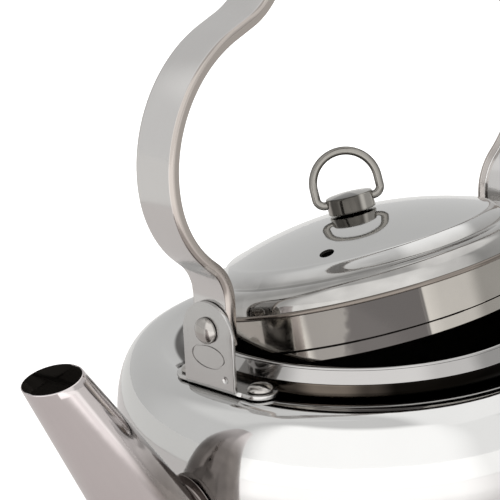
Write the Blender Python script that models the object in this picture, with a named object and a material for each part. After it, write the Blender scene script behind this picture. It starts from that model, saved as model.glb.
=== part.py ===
"""Camping tea kettle: drawn body, welded spout, riveted ears, swinging bail and a loose lid.

Metres, +Z up. The origin is the middle of the base. The spout points along -X, and
the spout, the ears and the bail share the plane y = 0. The lid is set down ajar:
it is tipped about an axis above its low side.
"""

import math

import bmesh
import bpy
from mathutils import Matrix, Quaternion, Vector

# Fits and counts shared by the whole kettle
SEAT_GAP = 0.0003
HOLE_PLAY = 0.0003
OVERRUN = 0.004
WELD = 1e-7
LARGE_SEGMENTS = 48
SMALL_SEGMENTS = 16
HOLE_SEGMENTS = 12
SHARP_ANGLE = 35

# Body
BODY_RADIUS = 0.0751
BODY_HEIGHT = 0.098
BODY_WALL = 0.0008
CORNER_RADIUS = 0.0065
SHELL_LIFT = 0.0005
BASE_FLANGE_WIDTH = 0.0066
SIDE_TOP_DROP = 0.0333
SHOULDER_WIDTH = 0.0138
CREST_DROP = 0.0072
SHOULDER_POWER = 0.772
GUTTER_WIDTH = 0.0055
GUTTER_DEPTH = 0.001
GUTTER_FILLET = 0.0035
NECK_TO_OPENING = 0.0022
LIP_TUBE_RADIUS = 0.00085
LIP_START = -8
BAND_GROOVE = 0.00025
BAND_TOP_DROP = 0.0006
BAND_FLARE = 0.00215
BAND_HEIGHT = 0.0034
BAND_SHEET = 0.0007
BASE_SHEET = 0.0008

# Spout
MOUTH_RADIUS = 0.00806
SPOUT_WAIST_RADIUS = 0.0137
SPOUT_FOOT_RADIUS = 0.0145
SPOUT_WAIST_SHARE = 0.8
SPOUT_WALL = 0.0008
SPOUT_REACH = 0.0457
SPOUT_RISE = 0.0127
SPOUT_FOOT_HEIGHT = 0.0394
SPOUT_ROOT = 0.033
MOUTH_TILT = 11
FOOT_FLANGE_MARGIN = 0.0025
FOOT_FLANGE_SHEET = 0.0012
STRAINER_HOLE_RADIUS = 0.002
STRAINER_PITCH = 0.006

# Ears
EAR_SHEET = 0.0012
EAR_HALF_WIDTH = 0.0097
EAR_OVERHANG = 0.0033
EAR_ARCH_RISE = 0.0165
EAR_BEND_RADIUS = 0.0008
EAR_TAB_RADIUS = 0.0049
EAR_FILLET_RADIUS = 0.0015
EAR_RIVET_INSET = 0.0033
EAR_RIVET_SPREAD = 0.0132
STAMP_HALF_WIDTH = 0.0065
STAMP_HALF_HEIGHT = 0.0035
STAMP_LINE = 0.0005
STAMP_DEPTH = 0.0003
STAMP_RISE = 0.0104
DIMPLE_RADIUS = 0.0016
DIMPLE_DEPTH = 0.0005
DIMPLE_RISE = 0.0048
DIMPLE_SIDE = 0.0063

# Ear rivets
RIVET_HEAD_RADIUS = 0.0037
RIVET_HEAD_HEIGHT = 0.0019
RIVET_SHANK_RADIUS = 0.0018
RIVET_TAIL_RADIUS = 0.003
RIVET_TAIL_HEIGHT = 0.0012

# Bail and its pivots
PIVOT_RISE = 0.0181
PIVOT_HEAD_RADIUS = 0.00385
PIVOT_HEAD_HEIGHT = 0.0023
PIVOT_SHANK_RADIUS = 0.0021
PIVOT_TAIL_RADIUS = 0.0035
PIVOT_TAIL_HEIGHT = 0.0014
WASHER_RADIUS = 0.005
WASHER_SHEET = 0.0008
BAIL_SHEET = 0.0009
BAIL_HALF_WIDTH = 0.0071
BAIL_DEPTH = 0.0032
BAIL_EDGE_RADIUS = 0.0013
BAIL_BEND_INSIDE = 0.0004
BAIL_END_RADIUS = 0.008
BAIL_LEG_RISE = 0.0085
BAIL_HEEL_RADIUS = 0.013
BAIL_HEEL_TURN = 50
BAIL_HEEL_RUN = 0.0017
BAIL_FLANK_RADIUS = 0.0342
BAIL_FLANK_TURN = 41.6
BAIL_SHOULDER_RADIUS = 0.0394
BAIL_SHOULDER_TURN = 78.2
BAIL_SHOULDER_RUN = 0.0068
BAIL_GRIP_RADIUS = 0.0192
BAIL_GRIP_TURN = 30

# Lid
LID_SHEET = 0.0008
LID_SEAT = 0.00042
BEAD_TUBE_RADIUS = 0.00073
BEAD_START = 80
BEAD_END = -215
LID_RING_WIDTH = 0.00705
CREASE_RISE = 0.0073
LID_RING_POWER = 0.65
CREASE_WIDTH = 0.0053
RIDGE_RISE = 0.0111
DOME_RISE = 0.0066
DOME_POWER = 2.08
DOME_SPACING = 0.7
VENT_RADIUS = 0.00215
VENT_INSET = 0.0049
VENT_AZIMUTH = 208.8
SKIRT_SHEET = 0.0007
SKIRT_PLAY = 0.0025
SKIRT_LIP_DROP = 0.0104
SKIRT_DROP = 0.0143
SKIRT_LIP_STEP = 0.0005
SKIRT_SHELF = 0.0042
SKIRT_CORNER_RADIUS = 0.002

# How the lid is set down ajar
TIP_AZIMUTH = 99.94
TIP_INSET = 0.00565
TIP_RISE = 0.00924
TIP_ANGLE = 14.27

# Knob and ring
KNOB_RADIUS = 0.007
KNOB_HEIGHT = 0.0054
KNOB_CROWN = 0.0005
KNOB_EDGE = 0.0006
KNOB_HOLE_RISE = 0.003
RING_AZIMUTH = -43.9
RING_WIRE_RADIUS = 0.00122
RING_ARCH_RADIUS = 0.0095
RING_LEG = 0.0052
RING_CORNER_RADIUS = 0.0024
RING_GRIP = 0.0015
SCREW_RADIUS = 0.0015
SCREW_LENGTH_IN_KNOB = 0.0038
SCREW_HEAD_RADIUS = 0.0034
SCREW_HEAD_HEIGHT = 0.002
KNOB_WASHER_RADIUS = 0.006

# Places worked out from the sizes above
BASE_OPENING_RADIUS = BODY_RADIUS - CORNER_RADIUS - BASE_FLANGE_WIDTH
CREST_RADIUS = BODY_RADIUS - SHOULDER_WIDTH
CREST_HEIGHT = BODY_HEIGHT - CREST_DROP
GUTTER_RADIUS = CREST_RADIUS - GUTTER_WIDTH
NECK_RADIUS = GUTTER_RADIUS - GUTTER_FILLET
RIM_OPENING = NECK_RADIUS - NECK_TO_OPENING
LIP_RADIUS = RIM_OPENING + LIP_TUBE_RADIUS
CREASE_RADIUS = LIP_RADIUS - LID_RING_WIDTH
RIDGE_RADIUS = CREASE_RADIUS - CREASE_WIDTH
VENT_PLACE_RADIUS = RIDGE_RADIUS - VENT_INSET
TIP_PLACE_RADIUS = LIP_RADIUS - TIP_INSET
EAR_FACE = CREST_RADIUS + EAR_OVERHANG
EAR_FOOT_HEIGHT = CREST_HEIGHT + SEAT_GAP
EAR_INNER_FACE = EAR_FACE - EAR_SHEET
BAIL_FACE = EAR_INNER_FACE - SEAT_GAP
BAIL_INNER_FACE = BAIL_FACE - BAIL_SHEET
PIVOT_HEIGHT = CREST_HEIGHT + PIVOT_RISE
RIVET_PLACE = CREST_RADIUS - EAR_RIVET_INSET
RIVET_HOLE_RADIUS = RIVET_SHANK_RADIUS + HOLE_PLAY
PIVOT_HOLE_RADIUS = PIVOT_SHANK_RADIUS + HOLE_PLAY
SKIRT_RADIUS = RIM_OPENING - SKIRT_PLAY
KNOB_SEAT = RIDGE_RISE + DOME_RISE + SEAT_GAP
RING_HOLE_RADIUS = RING_WIRE_RADIUS + HOLE_PLAY
RING_END = KNOB_RADIUS - RING_GRIP
SCREW_HOLE_RADIUS = SCREW_RADIUS + HOLE_PLAY


# Helpers for outlines

def clear_scene():
    for thing in list(bpy.data.objects):
        bpy.data.objects.remove(thing, do_unlink=True)


def polar(radius, degrees):
    """The (x, y) of a point at this radius and angle."""
    angle = math.radians(degrees)
    return radius * math.cos(angle), radius * math.sin(angle)


def arc(centre, radius, start, end, steps):
    """Points along an arc about centre, angles in degrees, both ends included."""
    points = []
    for step in range(steps + 1):
        along, up = polar(radius, start + (end - start) * step / steps)
        points.append((centre[0] + along, centre[1] + up))
    return points


def side_normal(start, end):
    """Unit vector to the left of the way from start to end."""
    along = end[0] - start[0]
    up = end[1] - start[1]
    length = math.hypot(along, up)
    return -up / length, along / length


def moved_left(path, distance):
    """The open path moved to its left by distance, with mitred corners."""
    moved = []
    last = len(path) - 1
    for index, point in enumerate(path):
        arriving = side_normal(*path[max(index - 1, 0):max(index, 1) + 1])
        leaving = side_normal(*path[min(index, last - 1):min(index + 1, last) + 1])
        total = (arriving[0] + leaving[0], arriving[1] + leaving[1])
        size = math.hypot(*total)
        mitre = (total[0] / size, total[1] / size)
        reach = distance / (mitre[0] * leaving[0] + mitre[1] * leaving[1])
        moved.append((point[0] + mitre[0] * reach, point[1] + mitre[1] * reach))
    return moved


# Helpers for solids

def material(name, colour, roughness):
    made = bpy.data.materials.new(name)
    made.use_nodes = True
    surface = made.node_tree.nodes["Principled BSDF"]
    surface.inputs["Base Color"].default_value = (*colour, 1)
    surface.inputs["Metallic"].default_value = 1
    surface.inputs["Roughness"].default_value = roughness
    return made


def finished(name, shape, surface=None):
    """Turns a bmesh into a smooth-shaded object, or into a hidden cutter when it has no surface."""
    bmesh.ops.recalc_face_normals(shape, faces=shape.faces)
    mesh = bpy.data.meshes.new(name)
    shape.to_mesh(mesh)
    shape.free()
    mesh.shade_smooth()
    mesh.set_sharp_from_angle(angle=math.radians(SHARP_ANGLE))
    made = bpy.data.objects.new(name, mesh)
    bpy.context.scene.collection.objects.link(made)
    if surface:
        mesh.materials.append(surface)
    else:
        made.hide_render = True
        made.display_type = "WIRE"
    return made


def turned(outline, segments):
    """A closed outline of (radius, height) points spun about Z. Its ends may lie on the axis."""
    shape = bmesh.new()
    corners = [shape.verts.new((radius, 0, height)) for radius, height in outline]
    edges = [shape.edges.new(pair) for pair in zip(corners, corners[1:])]
    if outline[0][0] or outline[-1][0]:
        edges.append(shape.edges.new((corners[-1], corners[0])))
    bmesh.ops.spin(
        shape, geom=corners + edges, axis=(0, 0, 1), cent=(0, 0, 0),
        angle=math.tau, steps=segments, use_merge=True,
    )
    bmesh.ops.remove_doubles(shape, verts=shape.verts, dist=WELD)
    return shape


def skinned(rings):
    """A solid through rings of as many points each, capped at both ends."""
    shape = bmesh.new()
    loops = [[shape.verts.new(point) for point in ring] for ring in rings]
    for lower, upper in zip(loops, loops[1:]):
        for index in range(len(lower)):
            shape.faces.new((lower[index - 1], lower[index], upper[index], upper[index - 1]))
    shape.faces.new(loops[0])
    shape.faces.new(loops[-1])
    return shape


def drill(shape, radius, start, end):
    """Adds a closed cylinder from start to end to the bmesh."""
    way = Vector(end) - Vector(start)
    place = Matrix.Translation((Vector(start) + Vector(end)) / 2)
    turn = Vector((0, 0, 1)).rotation_difference(way).to_matrix().to_4x4()
    bmesh.ops.create_cone(
        shape, cap_ends=True, segments=HOLE_SEGMENTS, radius1=radius, radius2=radius,
        depth=way.length, matrix=place @ turn,
    )


def combine(target, tool, operation="DIFFERENCE"):
    step = target.modifiers.new(tool.name, "BOOLEAN")
    step.operation = operation
    step.solver = "EXACT"
    step.object = tool


# Body

def side_path():
    """The outside of the shell from the edge of its turned-in flange to the top of the neck."""
    corner = (BODY_RADIUS - CORNER_RADIUS, SHELL_LIFT + CORNER_RADIUS)
    path = [(BASE_OPENING_RADIUS, SHELL_LIFT)]
    path += arc(corner, CORNER_RADIUS, -90, 0, 3)
    side_top = BODY_HEIGHT - SIDE_TOP_DROP
    steps = 6
    for step in range(steps + 1):
        angle = math.pi / 2 * (1 - step / steps)
        out = (BODY_RADIUS - CREST_RADIUS) * math.sin(angle) ** SHOULDER_POWER
        up = (CREST_HEIGHT - side_top) * math.cos(angle) ** SHOULDER_POWER
        path.append((CREST_RADIUS + out, side_top + up))
    steps = 2
    for step in range(1, steps):
        share = step / steps
        radius = CREST_RADIUS + (GUTTER_RADIUS - CREST_RADIUS) * share
        path.append((radius, CREST_HEIGHT - GUTTER_DEPTH * math.sin(share * math.pi / 2)))
    bottom = CREST_HEIGHT - GUTTER_DEPTH
    path += arc((GUTTER_RADIUS, bottom + GUTTER_FILLET), GUTTER_FILLET, 270, 180, 3)
    return path


def rim_path():
    """From the outside of the neck round the folded band and the rolled lip to the inside."""
    top_radius = LIP_RADIUS + LIP_TUBE_RADIUS + BAND_GROOVE
    top = (top_radius, BODY_HEIGHT - BAND_TOP_DROP)
    foot = (top_radius + BAND_FLARE, top[1] - BAND_HEIGHT)
    inner_foot, inner_top = moved_left([foot, top], BAND_SHEET)
    share = (NECK_RADIUS - inner_top[0]) / (inner_foot[0] - inner_top[0])
    under = inner_top[1] + (inner_foot[1] - inner_top[1]) * share
    centre = (LIP_RADIUS, BODY_HEIGHT - LIP_TUBE_RADIUS)
    inside = NECK_RADIUS - BODY_WALL
    end = math.degrees(math.acos((inside - LIP_RADIUS) / LIP_TUBE_RADIUS))
    lip = arc(centre, LIP_TUBE_RADIUS, LIP_START, 360 - end, 7)
    return [(NECK_RADIUS, under), inner_foot, foot, top] + lip


def shell_outline():
    outside = side_path()
    inside = moved_left(outside, BODY_WALL)
    return outside + rim_path() + inside[::-1]


def envelope(name, gap):
    """A hidden solid of the body's outer shape, larger by gap all round."""
    outside = moved_left(side_path(), -gap)
    outline = [(0, outside[0][1])] + outside + [(0, outside[-1][1])]
    return finished(name, turned(outline, LARGE_SEGMENTS))


def strainer_holes():
    """Rows of holes, set like bricks, inside the oval where the spout meets the wall."""
    along, _ = spout_axis()
    half_width = SPOUT_FOOT_RADIUS - SPOUT_WALL - STRAINER_HOLE_RADIUS * 2
    half_height = SPOUT_FOOT_RADIUS / along.x - STRAINER_HOLE_RADIUS * 3
    rise = STRAINER_PITCH
    rows = math.floor(half_height / rise)
    shape = bmesh.new()
    for row in range(-rows, rows + 1):
        room = half_width * math.sqrt(1 - (row * rise / half_height) ** 2)
        shift = STRAINER_PITCH / 2 * (row % 2)
        most = math.floor((room - shift) / STRAINER_PITCH)
        first = -most - row % 2
        for column in range(first, most + 1):
            side = column * STRAINER_PITCH + shift
            height = SPOUT_FOOT_HEIGHT + row * rise
            outer = -BODY_RADIUS - OVERRUN
            inner = -math.sqrt(BODY_RADIUS ** 2 - side ** 2) + BODY_WALL + OVERRUN
            drill(shape, STRAINER_HOLE_RADIUS, (outer, side, height), (inner, side, height))
    return finished("strainer_cutter", shape)


def rivet_places():
    """(x, y) of the four ear rivets, by their place on the kettle."""
    return {
        "front_left": (-RIVET_PLACE, EAR_RIVET_SPREAD),
        "front_right": (-RIVET_PLACE, -EAR_RIVET_SPREAD),
        "rear_left": (RIVET_PLACE, -EAR_RIVET_SPREAD),
        "rear_right": (RIVET_PLACE, EAR_RIVET_SPREAD),
    }


def shell_rivet_holes():
    shape = bmesh.new()
    low = CREST_HEIGHT - GUTTER_DEPTH - BODY_WALL - OVERRUN
    for x, y in rivet_places().values():
        drill(shape, RIVET_HOLE_RADIUS, (x, y, low), (x, y, CREST_HEIGHT + OVERRUN))
    return finished("shell_rivet_cutter", shape)


def body_shell():
    steel = material("polished_body_steel", (0.78, 0.77, 0.75), 0.06)
    shell = finished("body_shell", turned(shell_outline(), LARGE_SEGMENTS), steel)
    combine(shell, strainer_holes())
    combine(shell, shell_rivet_holes())


def base_pan():
    """A stepped pan whose flange lies on the shell's turned-in flange."""
    steel = material("brushed_base_steel", (0.6, 0.59, 0.57), 0.3)
    step = BASE_OPENING_RADIUS - SEAT_GAP
    edge = BODY_RADIUS - CORNER_RADIUS - SEAT_GAP
    ledge = SHELL_LIFT + BODY_WALL + SEAT_GAP
    outside = [(0, 0)] + arc((step - BASE_SHEET, BASE_SHEET), BASE_SHEET, -90, 0, 2)
    outside += [(step, ledge), (edge, ledge), (edge, ledge + BASE_SHEET)]
    inside = [(step - BASE_SHEET, ledge + BASE_SHEET), (step - BASE_SHEET, BASE_SHEET), (0, BASE_SHEET)]
    finished("base_pan", turned(outside + inside, LARGE_SEGMENTS), steel)


# Spout

def mouth_centre():
    return Vector((-BODY_RADIUS - SPOUT_REACH, 0, BODY_HEIGHT + SPOUT_RISE))


def spout_axis():
    """Unit vector from the mouth to the foot, and the distance between them."""
    way = Vector((-BODY_RADIUS, 0, SPOUT_FOOT_HEIGHT)) - mouth_centre()
    return way.normalized(), way.length


def spout_rings(inset, lead, tail):
    """Rings of the spout's cone. The first lies in the tilted plane of the mouth, moved out by lead."""
    along, length = spout_axis()
    across = Vector((0, 1, 0))
    up = along.cross(across)
    plane = Matrix.Rotation(math.radians(-MOUTH_TILT), 3, "Y") @ Vector((0, 0, 1))
    waist = length * SPOUT_WAIST_SHARE
    stations = [
        (-lead, MOUTH_RADIUS), (MOUTH_RADIUS * 2, None), (waist, SPOUT_WAIST_RADIUS),
        (length, SPOUT_FOOT_RADIUS), (length + tail, SPOUT_FOOT_RADIUS),
    ]
    growth = (SPOUT_WAIST_RADIUS - MOUTH_RADIUS) / waist
    rings = []
    for index, (distance, radius) in enumerate(stations):
        radius = (radius or MOUTH_RADIUS + growth * distance) - inset
        ring = []
        for step in range(SMALL_SEGMENTS * 2):
            angle = math.tau * step / SMALL_SEGMENTS / 2
            offset = (across * math.cos(angle) + up * math.sin(angle)) * radius
            slide = -offset.dot(plane) / along.dot(plane) if index == 0 else 0
            ring.append(mouth_centre() + along * (distance + slide) + offset)
        rings.append(ring)
    return rings


def foot_flange():
    """The collar at the foot: a thin layer over the body inside a wider cone."""
    rings = spout_rings(-FOOT_FLANGE_MARGIN, 0, SPOUT_ROOT - OVERRUN)
    cone = finished("spout_flange_blank", skinned(rings[1:]))
    combine(cone, envelope("spout_flange_limit", SEAT_GAP + FOOT_FLANGE_SHEET), "INTERSECT")
    return cone


def spout_tube():
    steel = material("polished_spout_steel", (0.78, 0.77, 0.75), 0.06)
    spout = finished("spout_tube", skinned(spout_rings(0, 0, SPOUT_ROOT)), steel)
    combine(spout, foot_flange(), "UNION")
    bore = skinned(spout_rings(SPOUT_WALL, OVERRUN, SPOUT_ROOT + OVERRUN))
    combine(spout, finished("spout_bore_cutter", bore))
    combine(spout, envelope("spout_foot_cutter", SEAT_GAP))


# Ears

def ear_blank():
    """Half of the flat ear's outline, as (across, along) points. The bend starts at along = 0."""
    middle = EAR_SHEET / 2
    bend_start = EAR_FACE - middle - (EAR_BEND_RADIUS + middle)
    tab_along = -(bend_start - RIVET_PLACE)
    shoulder = tab_along + EAR_TAB_RADIUS
    fillet_centre = (EAR_HALF_WIDTH + EAR_FILLET_RADIUS, shoulder + EAR_FILLET_RADIUS)
    arch = EAR_ARCH_RISE - SEAT_GAP - middle
    arch_along = bend_length() + arch - (EAR_BEND_RADIUS + middle)
    half = arc((EAR_RIVET_SPREAD, tab_along), EAR_TAB_RADIUS, -90, 90, 8)
    half += arc(fillet_centre, EAR_FILLET_RADIUS, 270, 180, 3)
    half += arc((0, arch_along), EAR_HALF_WIDTH, 0, 90, 7)
    return half


def bend_length():
    return (EAR_BEND_RADIUS + EAR_SHEET / 2) * math.pi / 2


def bent(point):
    """Where a point of the flat blank lies once the foot is bent under. Out of the sheet is +X."""
    out, across, along = point
    radius = EAR_BEND_RADIUS + EAR_SHEET / 2
    plate = EAR_FACE - EAR_SHEET / 2
    foot = EAR_FOOT_HEIGHT + EAR_SHEET / 2
    if along <= 0:
        return plate - radius + along, across, foot - out
    if along >= bend_length():
        return plate + out, across, foot + radius + along - bend_length()
    angle = along / radius
    x = plate - radius + (radius + out) * math.sin(angle)
    return x, across, foot + radius - (radius + out) * math.cos(angle)


def ear_shape():
    """The ear as a blank of even thickness, cut at its bend lines and then bent."""
    half = ear_blank()
    mirrored = [(-across, along) for across, along in half[-2::-1]]
    shape = bmesh.new()
    corners = [shape.verts.new((-EAR_SHEET / 2, across, along)) for across, along in half + mirrored]
    face = shape.faces.new(corners)
    lifted = bmesh.ops.extrude_face_region(shape, geom=[face])["geom"]
    lifted = [item for item in lifted if isinstance(item, bmesh.types.BMVert)]
    bmesh.ops.translate(shape, vec=(EAR_SHEET, 0, 0), verts=lifted)
    folds = 3
    for fold in range(folds + 1):
        everything = shape.verts[:] + shape.edges[:] + shape.faces[:]
        bmesh.ops.bisect_plane(
            shape, geom=everything, dist=WELD,
            plane_co=(0, 0, bend_length() * fold / folds), plane_no=(0, 0, 1),
        )
    for corner in shape.verts:
        corner.co = bent(corner.co)
    return shape


def ear_holes(name):
    shape = bmesh.new()
    start = EAR_INNER_FACE - OVERRUN
    drill(shape, PIVOT_HOLE_RADIUS, (start, 0, PIVOT_HEIGHT), (EAR_FACE + OVERRUN, 0, PIVOT_HEIGHT))
    low = EAR_FOOT_HEIGHT - OVERRUN
    high = EAR_FOOT_HEIGHT + EAR_SHEET + OVERRUN / 2
    for side in (-EAR_RIVET_SPREAD, EAR_RIVET_SPREAD):
        drill(shape, RIVET_HOLE_RADIUS, (RIVET_PLACE, side, low), (RIVET_PLACE, side, high))
    return finished(name, shape)


def stamp_cutter():
    """A shallow oval line on the outer face of the ear."""
    shape = bmesh.new()
    steps = SMALL_SEGMENTS * 2
    centre = Vector((EAR_FACE, 0, CREST_HEIGHT + STAMP_RISE))
    loops = []
    for out, grow in ((-STAMP_DEPTH, 0), (OVERRUN, 0), (OVERRUN, -STAMP_LINE), (-STAMP_DEPTH, -STAMP_LINE)):
        loop = []
        for step in range(steps):
            angle = math.tau * step / steps
            side = (STAMP_HALF_WIDTH + grow) * math.cos(angle)
            up = (STAMP_HALF_HEIGHT + grow) * math.sin(angle)
            loop.append(shape.verts.new(centre + Vector((out, side, up))))
        loops.append(loop)
    for index, loop in enumerate(loops):
        before = loops[index - 1]
        for step in range(steps):
            shape.faces.new((before[step - 1], before[step], loop[step], loop[step - 1]))
    return finished("ear_stamp_cutter", shape)


def dimple_cutter():
    shape = bmesh.new()
    out = EAR_FACE + DIMPLE_RADIUS - DIMPLE_DEPTH
    place = Matrix.Translation((out, DIMPLE_SIDE, CREST_HEIGHT + DIMPLE_RISE))
    bmesh.ops.create_uvsphere(
        shape, u_segments=HOLE_SEGMENTS, v_segments=HOLE_SEGMENTS // 2, radius=DIMPLE_RADIUS, matrix=place,
    )
    return finished("ear_dimple_cutter", shape)


def ears():
    steel = material("satin_ear_steel", (0.72, 0.71, 0.69), 0.22)
    rear = finished("ear_rear", ear_shape(), steel)
    combine(rear, ear_holes("ear_rear_cutter"))
    front = finished("ear_front", ear_shape(), steel)
    half_turn = math.pi
    front.rotation_euler = (0, 0, half_turn)
    for tool in (ear_holes("ear_front_cutter"), stamp_cutter(), dimple_cutter()):
        tool.rotation_euler = (0, 0, half_turn)
        combine(front, tool)


def headed_pin(head_radius, head_height, shank_radius, grip, tail_radius, tail_height):
    """A pin along Z: domed head above 0, shank of length grip below it, flat tail at the end."""
    outline = [(tail_radius, -grip), (tail_radius, -grip - tail_height), (0, -grip - tail_height)]
    steps = 4
    dome = []
    for step in range(steps + 1):
        angle = math.pi / 2 * step / steps
        dome.append((head_radius * math.sin(angle), head_height * math.cos(angle)))
    return turned(dome + [(shank_radius, 0), (shank_radius, -grip)] + outline, SMALL_SEGMENTS)


def ear_rivets():
    steel = material("bright_rivet_steel", (0.75, 0.74, 0.72), 0.15)
    head = EAR_FOOT_HEIGHT + EAR_SHEET + SEAT_GAP
    tail = CREST_HEIGHT - GUTTER_DEPTH - BODY_WALL - SEAT_GAP
    for place, (x, y) in rivet_places().items():
        shape = headed_pin(
            RIVET_HEAD_RADIUS, RIVET_HEAD_HEIGHT, RIVET_SHANK_RADIUS, head - tail,
            RIVET_TAIL_RADIUS, RIVET_TAIL_HEIGHT,
        )
        rivet = finished("ear_rivet_" + place, shape, steel)
        rivet.location = (x, y, head)


# Bail

def turtle(path, heading, radius, turn, steps):
    """Carries the path on along an arc. A positive turn is to the left, in degrees."""
    side = 90 if turn > 0 else -90
    x, z = polar(radius, heading + side)
    centre = (path[-1][0] + x, path[-1][1] + z)
    path += arc(centre, radius, heading - side, heading - side + turn, steps)[1:]
    return heading + turn


def straight(path, heading, length):
    x, z = polar(length, heading)
    path.append((path[-1][0] + x, path[-1][1] + z))


def bail_half():
    """The outer face of the front half, upwards from the leg, in (x, z) from the pivot axis."""
    path = [(-BAIL_FACE, BAIL_LEG_RISE)]
    heading = turtle(path, 90, BAIL_HEEL_RADIUS, BAIL_HEEL_TURN, 4)
    straight(path, heading, BAIL_HEEL_RUN)
    heading = turtle(path, heading, BAIL_FLANK_RADIUS, -BAIL_FLANK_TURN, 3)
    to_widest = 90 - heading
    heading = turtle(path, heading, BAIL_SHOULDER_RADIUS, to_widest, 1)
    heading = turtle(path, heading, BAIL_SHOULDER_RADIUS, -BAIL_SHOULDER_TURN - to_widest, 6)
    straight(path, heading, BAIL_SHOULDER_RUN)
    heading = turtle(path, heading, BAIL_GRIP_RADIUS, BAIL_GRIP_TURN, 3)
    arch_radius = -path[-1][0] / math.sin(math.radians(heading))
    turtle(path, heading, arch_radius, -heading, 5)
    return path


def channel_ring(half_width):
    """The channel's section as (across, inwards) points."""
    edge = half_width - BAIL_EDGE_RADIUS
    inner = half_width - BAIL_SHEET
    corner = BAIL_SHEET + BAIL_BEND_INSIDE
    outer = arc((edge, BAIL_EDGE_RADIUS), BAIL_EDGE_RADIUS, -90, 0, 2)
    right = outer + [
        (half_width, BAIL_DEPTH), (inner, BAIL_DEPTH), (inner, corner), (inner - BAIL_BEND_INSIDE, BAIL_SHEET),
    ]
    return right + [(-across, inwards) for across, inwards in right[::-1]]


def bail_stations():
    """(x, z, half width) along the front half, from the rounded end of the leg to the top."""
    stations = []
    steps = 3
    widest = math.degrees(math.asin(BAIL_HALF_WIDTH / BAIL_END_RADIUS))
    for step in range(steps):
        angle = math.radians(widest * (1 + 2 * step) / (1 + 2 * steps - 2))
        low = -BAIL_END_RADIUS * math.cos(angle)
        stations.append((-BAIL_FACE, low, BAIL_END_RADIUS * math.sin(angle)))
    return stations + [(x, z, BAIL_HALF_WIDTH) for x, z in bail_half()]


def bail():
    """A pressed channel, open towards the kettle, swinging about the line between the pivots."""
    steel = material("satin_bail_steel", (0.7, 0.69, 0.67), 0.2)
    half = bail_stations()
    whole = half + [(-x, z, width) for x, z, width in half[-2::-1]]
    rings = []
    last = len(whole) - 1
    for index, (x, z, width) in enumerate(whole):
        before = whole[max(index - 1, 0)]
        after = whole[min(index + 1, last)]
        inwards = side_normal(after[:2], before[:2])
        ring = channel_ring(width)
        rings.append([(x + inwards[0] * depth, side, z + inwards[1] * depth) for side, depth in ring])
    made = finished("bail", skinned(rings), steel)
    made.location = (0, 0, PIVOT_HEIGHT)
    holes = bmesh.new()
    for end in (-1, 1):
        outer, inner = end * (BAIL_FACE + OVERRUN), end * (BAIL_FACE - OVERRUN)
        drill(holes, PIVOT_HOLE_RADIUS, (outer, 0, 0), (inner, 0, 0))
    tool = finished("bail_hole_cutter", holes)
    tool.location = made.location
    combine(made, tool)


def pivot_rivets():
    """One through each ear, with the washer and the tail inside the channel."""
    steel = material("bright_pivot_steel", (0.75, 0.74, 0.72), 0.15)
    washer_steel = material("washer_steel", (0.62, 0.61, 0.6), 0.3)
    head = EAR_FACE + SEAT_GAP
    washer_face = BAIL_INNER_FACE - SEAT_GAP
    tail = washer_face - WASHER_SHEET - SEAT_GAP
    for place, side in (("front", -1), ("rear", 1)):
        shape = headed_pin(
            PIVOT_HEAD_RADIUS, PIVOT_HEAD_HEIGHT, PIVOT_SHANK_RADIUS, head - tail,
            PIVOT_TAIL_RADIUS, PIVOT_TAIL_HEIGHT,
        )
        rivet = finished("pivot_rivet_" + place, shape, steel)
        rivet.location = (side * head, 0, PIVOT_HEIGHT)
        rivet.rotation_euler = (0, side * math.pi / 2, 0)
        shape = flat_ring(PIVOT_HOLE_RADIUS, WASHER_RADIUS, WASHER_SHEET)
        washer = finished("pivot_washer_" + place, shape, washer_steel)
        washer.location = (side * washer_face, 0, PIVOT_HEIGHT)
        washer.rotation_euler = (0, side * math.pi / 2, 0)


def flat_ring(inner, outer, sheet):
    """A washer whose upper face lies at 0."""
    outline = [(outer, 0), (outer, -sheet), (inner, -sheet), (inner, 0)]
    return turned(outline, SMALL_SEGMENTS)


# Lid, drawn closed and then tipped with its empty

def dome_height(radius):
    return RIDGE_RISE + DOME_RISE * (1 - (radius / RIDGE_RADIUS) ** DOME_POWER)


def lid_path():
    """The top of the lid from its middle out to just above the rolled bead."""
    path = []
    steps = 4
    for step in range(steps + 1):
        radius = RIDGE_RADIUS * (step / steps) ** DOME_SPACING
        path.append((radius, dome_height(radius)))
    steps = 2
    for step in range(1, steps + 1):
        share = step / steps
        fall = share * share * (3 - 2 * share)
        radius = RIDGE_RADIUS + (CREASE_RADIUS - RIDGE_RADIUS) * share
        path.append((radius, RIDGE_RISE + (CREASE_RISE - RIDGE_RISE) * fall))
    steps = 4
    for step in range(1, steps):
        angle = math.pi / 2 * (1 - step / steps)
        out = (LIP_RADIUS - CREASE_RADIUS) * math.cos(angle) ** LID_RING_POWER
        up = (CREASE_RISE - BEAD_TUBE_RADIUS) * math.sin(angle) ** LID_RING_POWER
        path.append((CREASE_RADIUS + out, BEAD_TUBE_RADIUS + up))
    return path


def lid_outline():
    outside = lid_path()
    inside = moved_left(outside, -LID_SHEET)
    bead = arc((LIP_RADIUS, BEAD_TUBE_RADIUS), BEAD_TUBE_RADIUS, BEAD_START, BEAD_END, 6)
    inside[0] = (0, inside[0][1])
    return outside + bead + inside[::-1]


def place_in_lid(thing, pivot, height=0):
    """Hangs a piece drawn about the lid's own axis on the tipping empty."""
    x, y = polar(TIP_PLACE_RADIUS, TIP_AZIMUTH)
    thing.parent = pivot
    thing.location = (-x, -y, LID_SEAT - TIP_RISE + height)


def tipping_empty():
    pivot = bpy.data.objects.new("lid_pivot", None)
    bpy.context.scene.collection.objects.link(pivot)
    x, y = polar(TIP_PLACE_RADIUS, TIP_AZIMUTH)
    pivot.location = (x, y, BODY_HEIGHT + TIP_RISE)
    axis = Vector((*polar(1, TIP_AZIMUTH + 90), 0))
    pivot.rotation_mode = "QUATERNION"
    pivot.rotation_quaternion = Quaternion(axis, math.radians(TIP_ANGLE))
    return pivot


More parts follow.
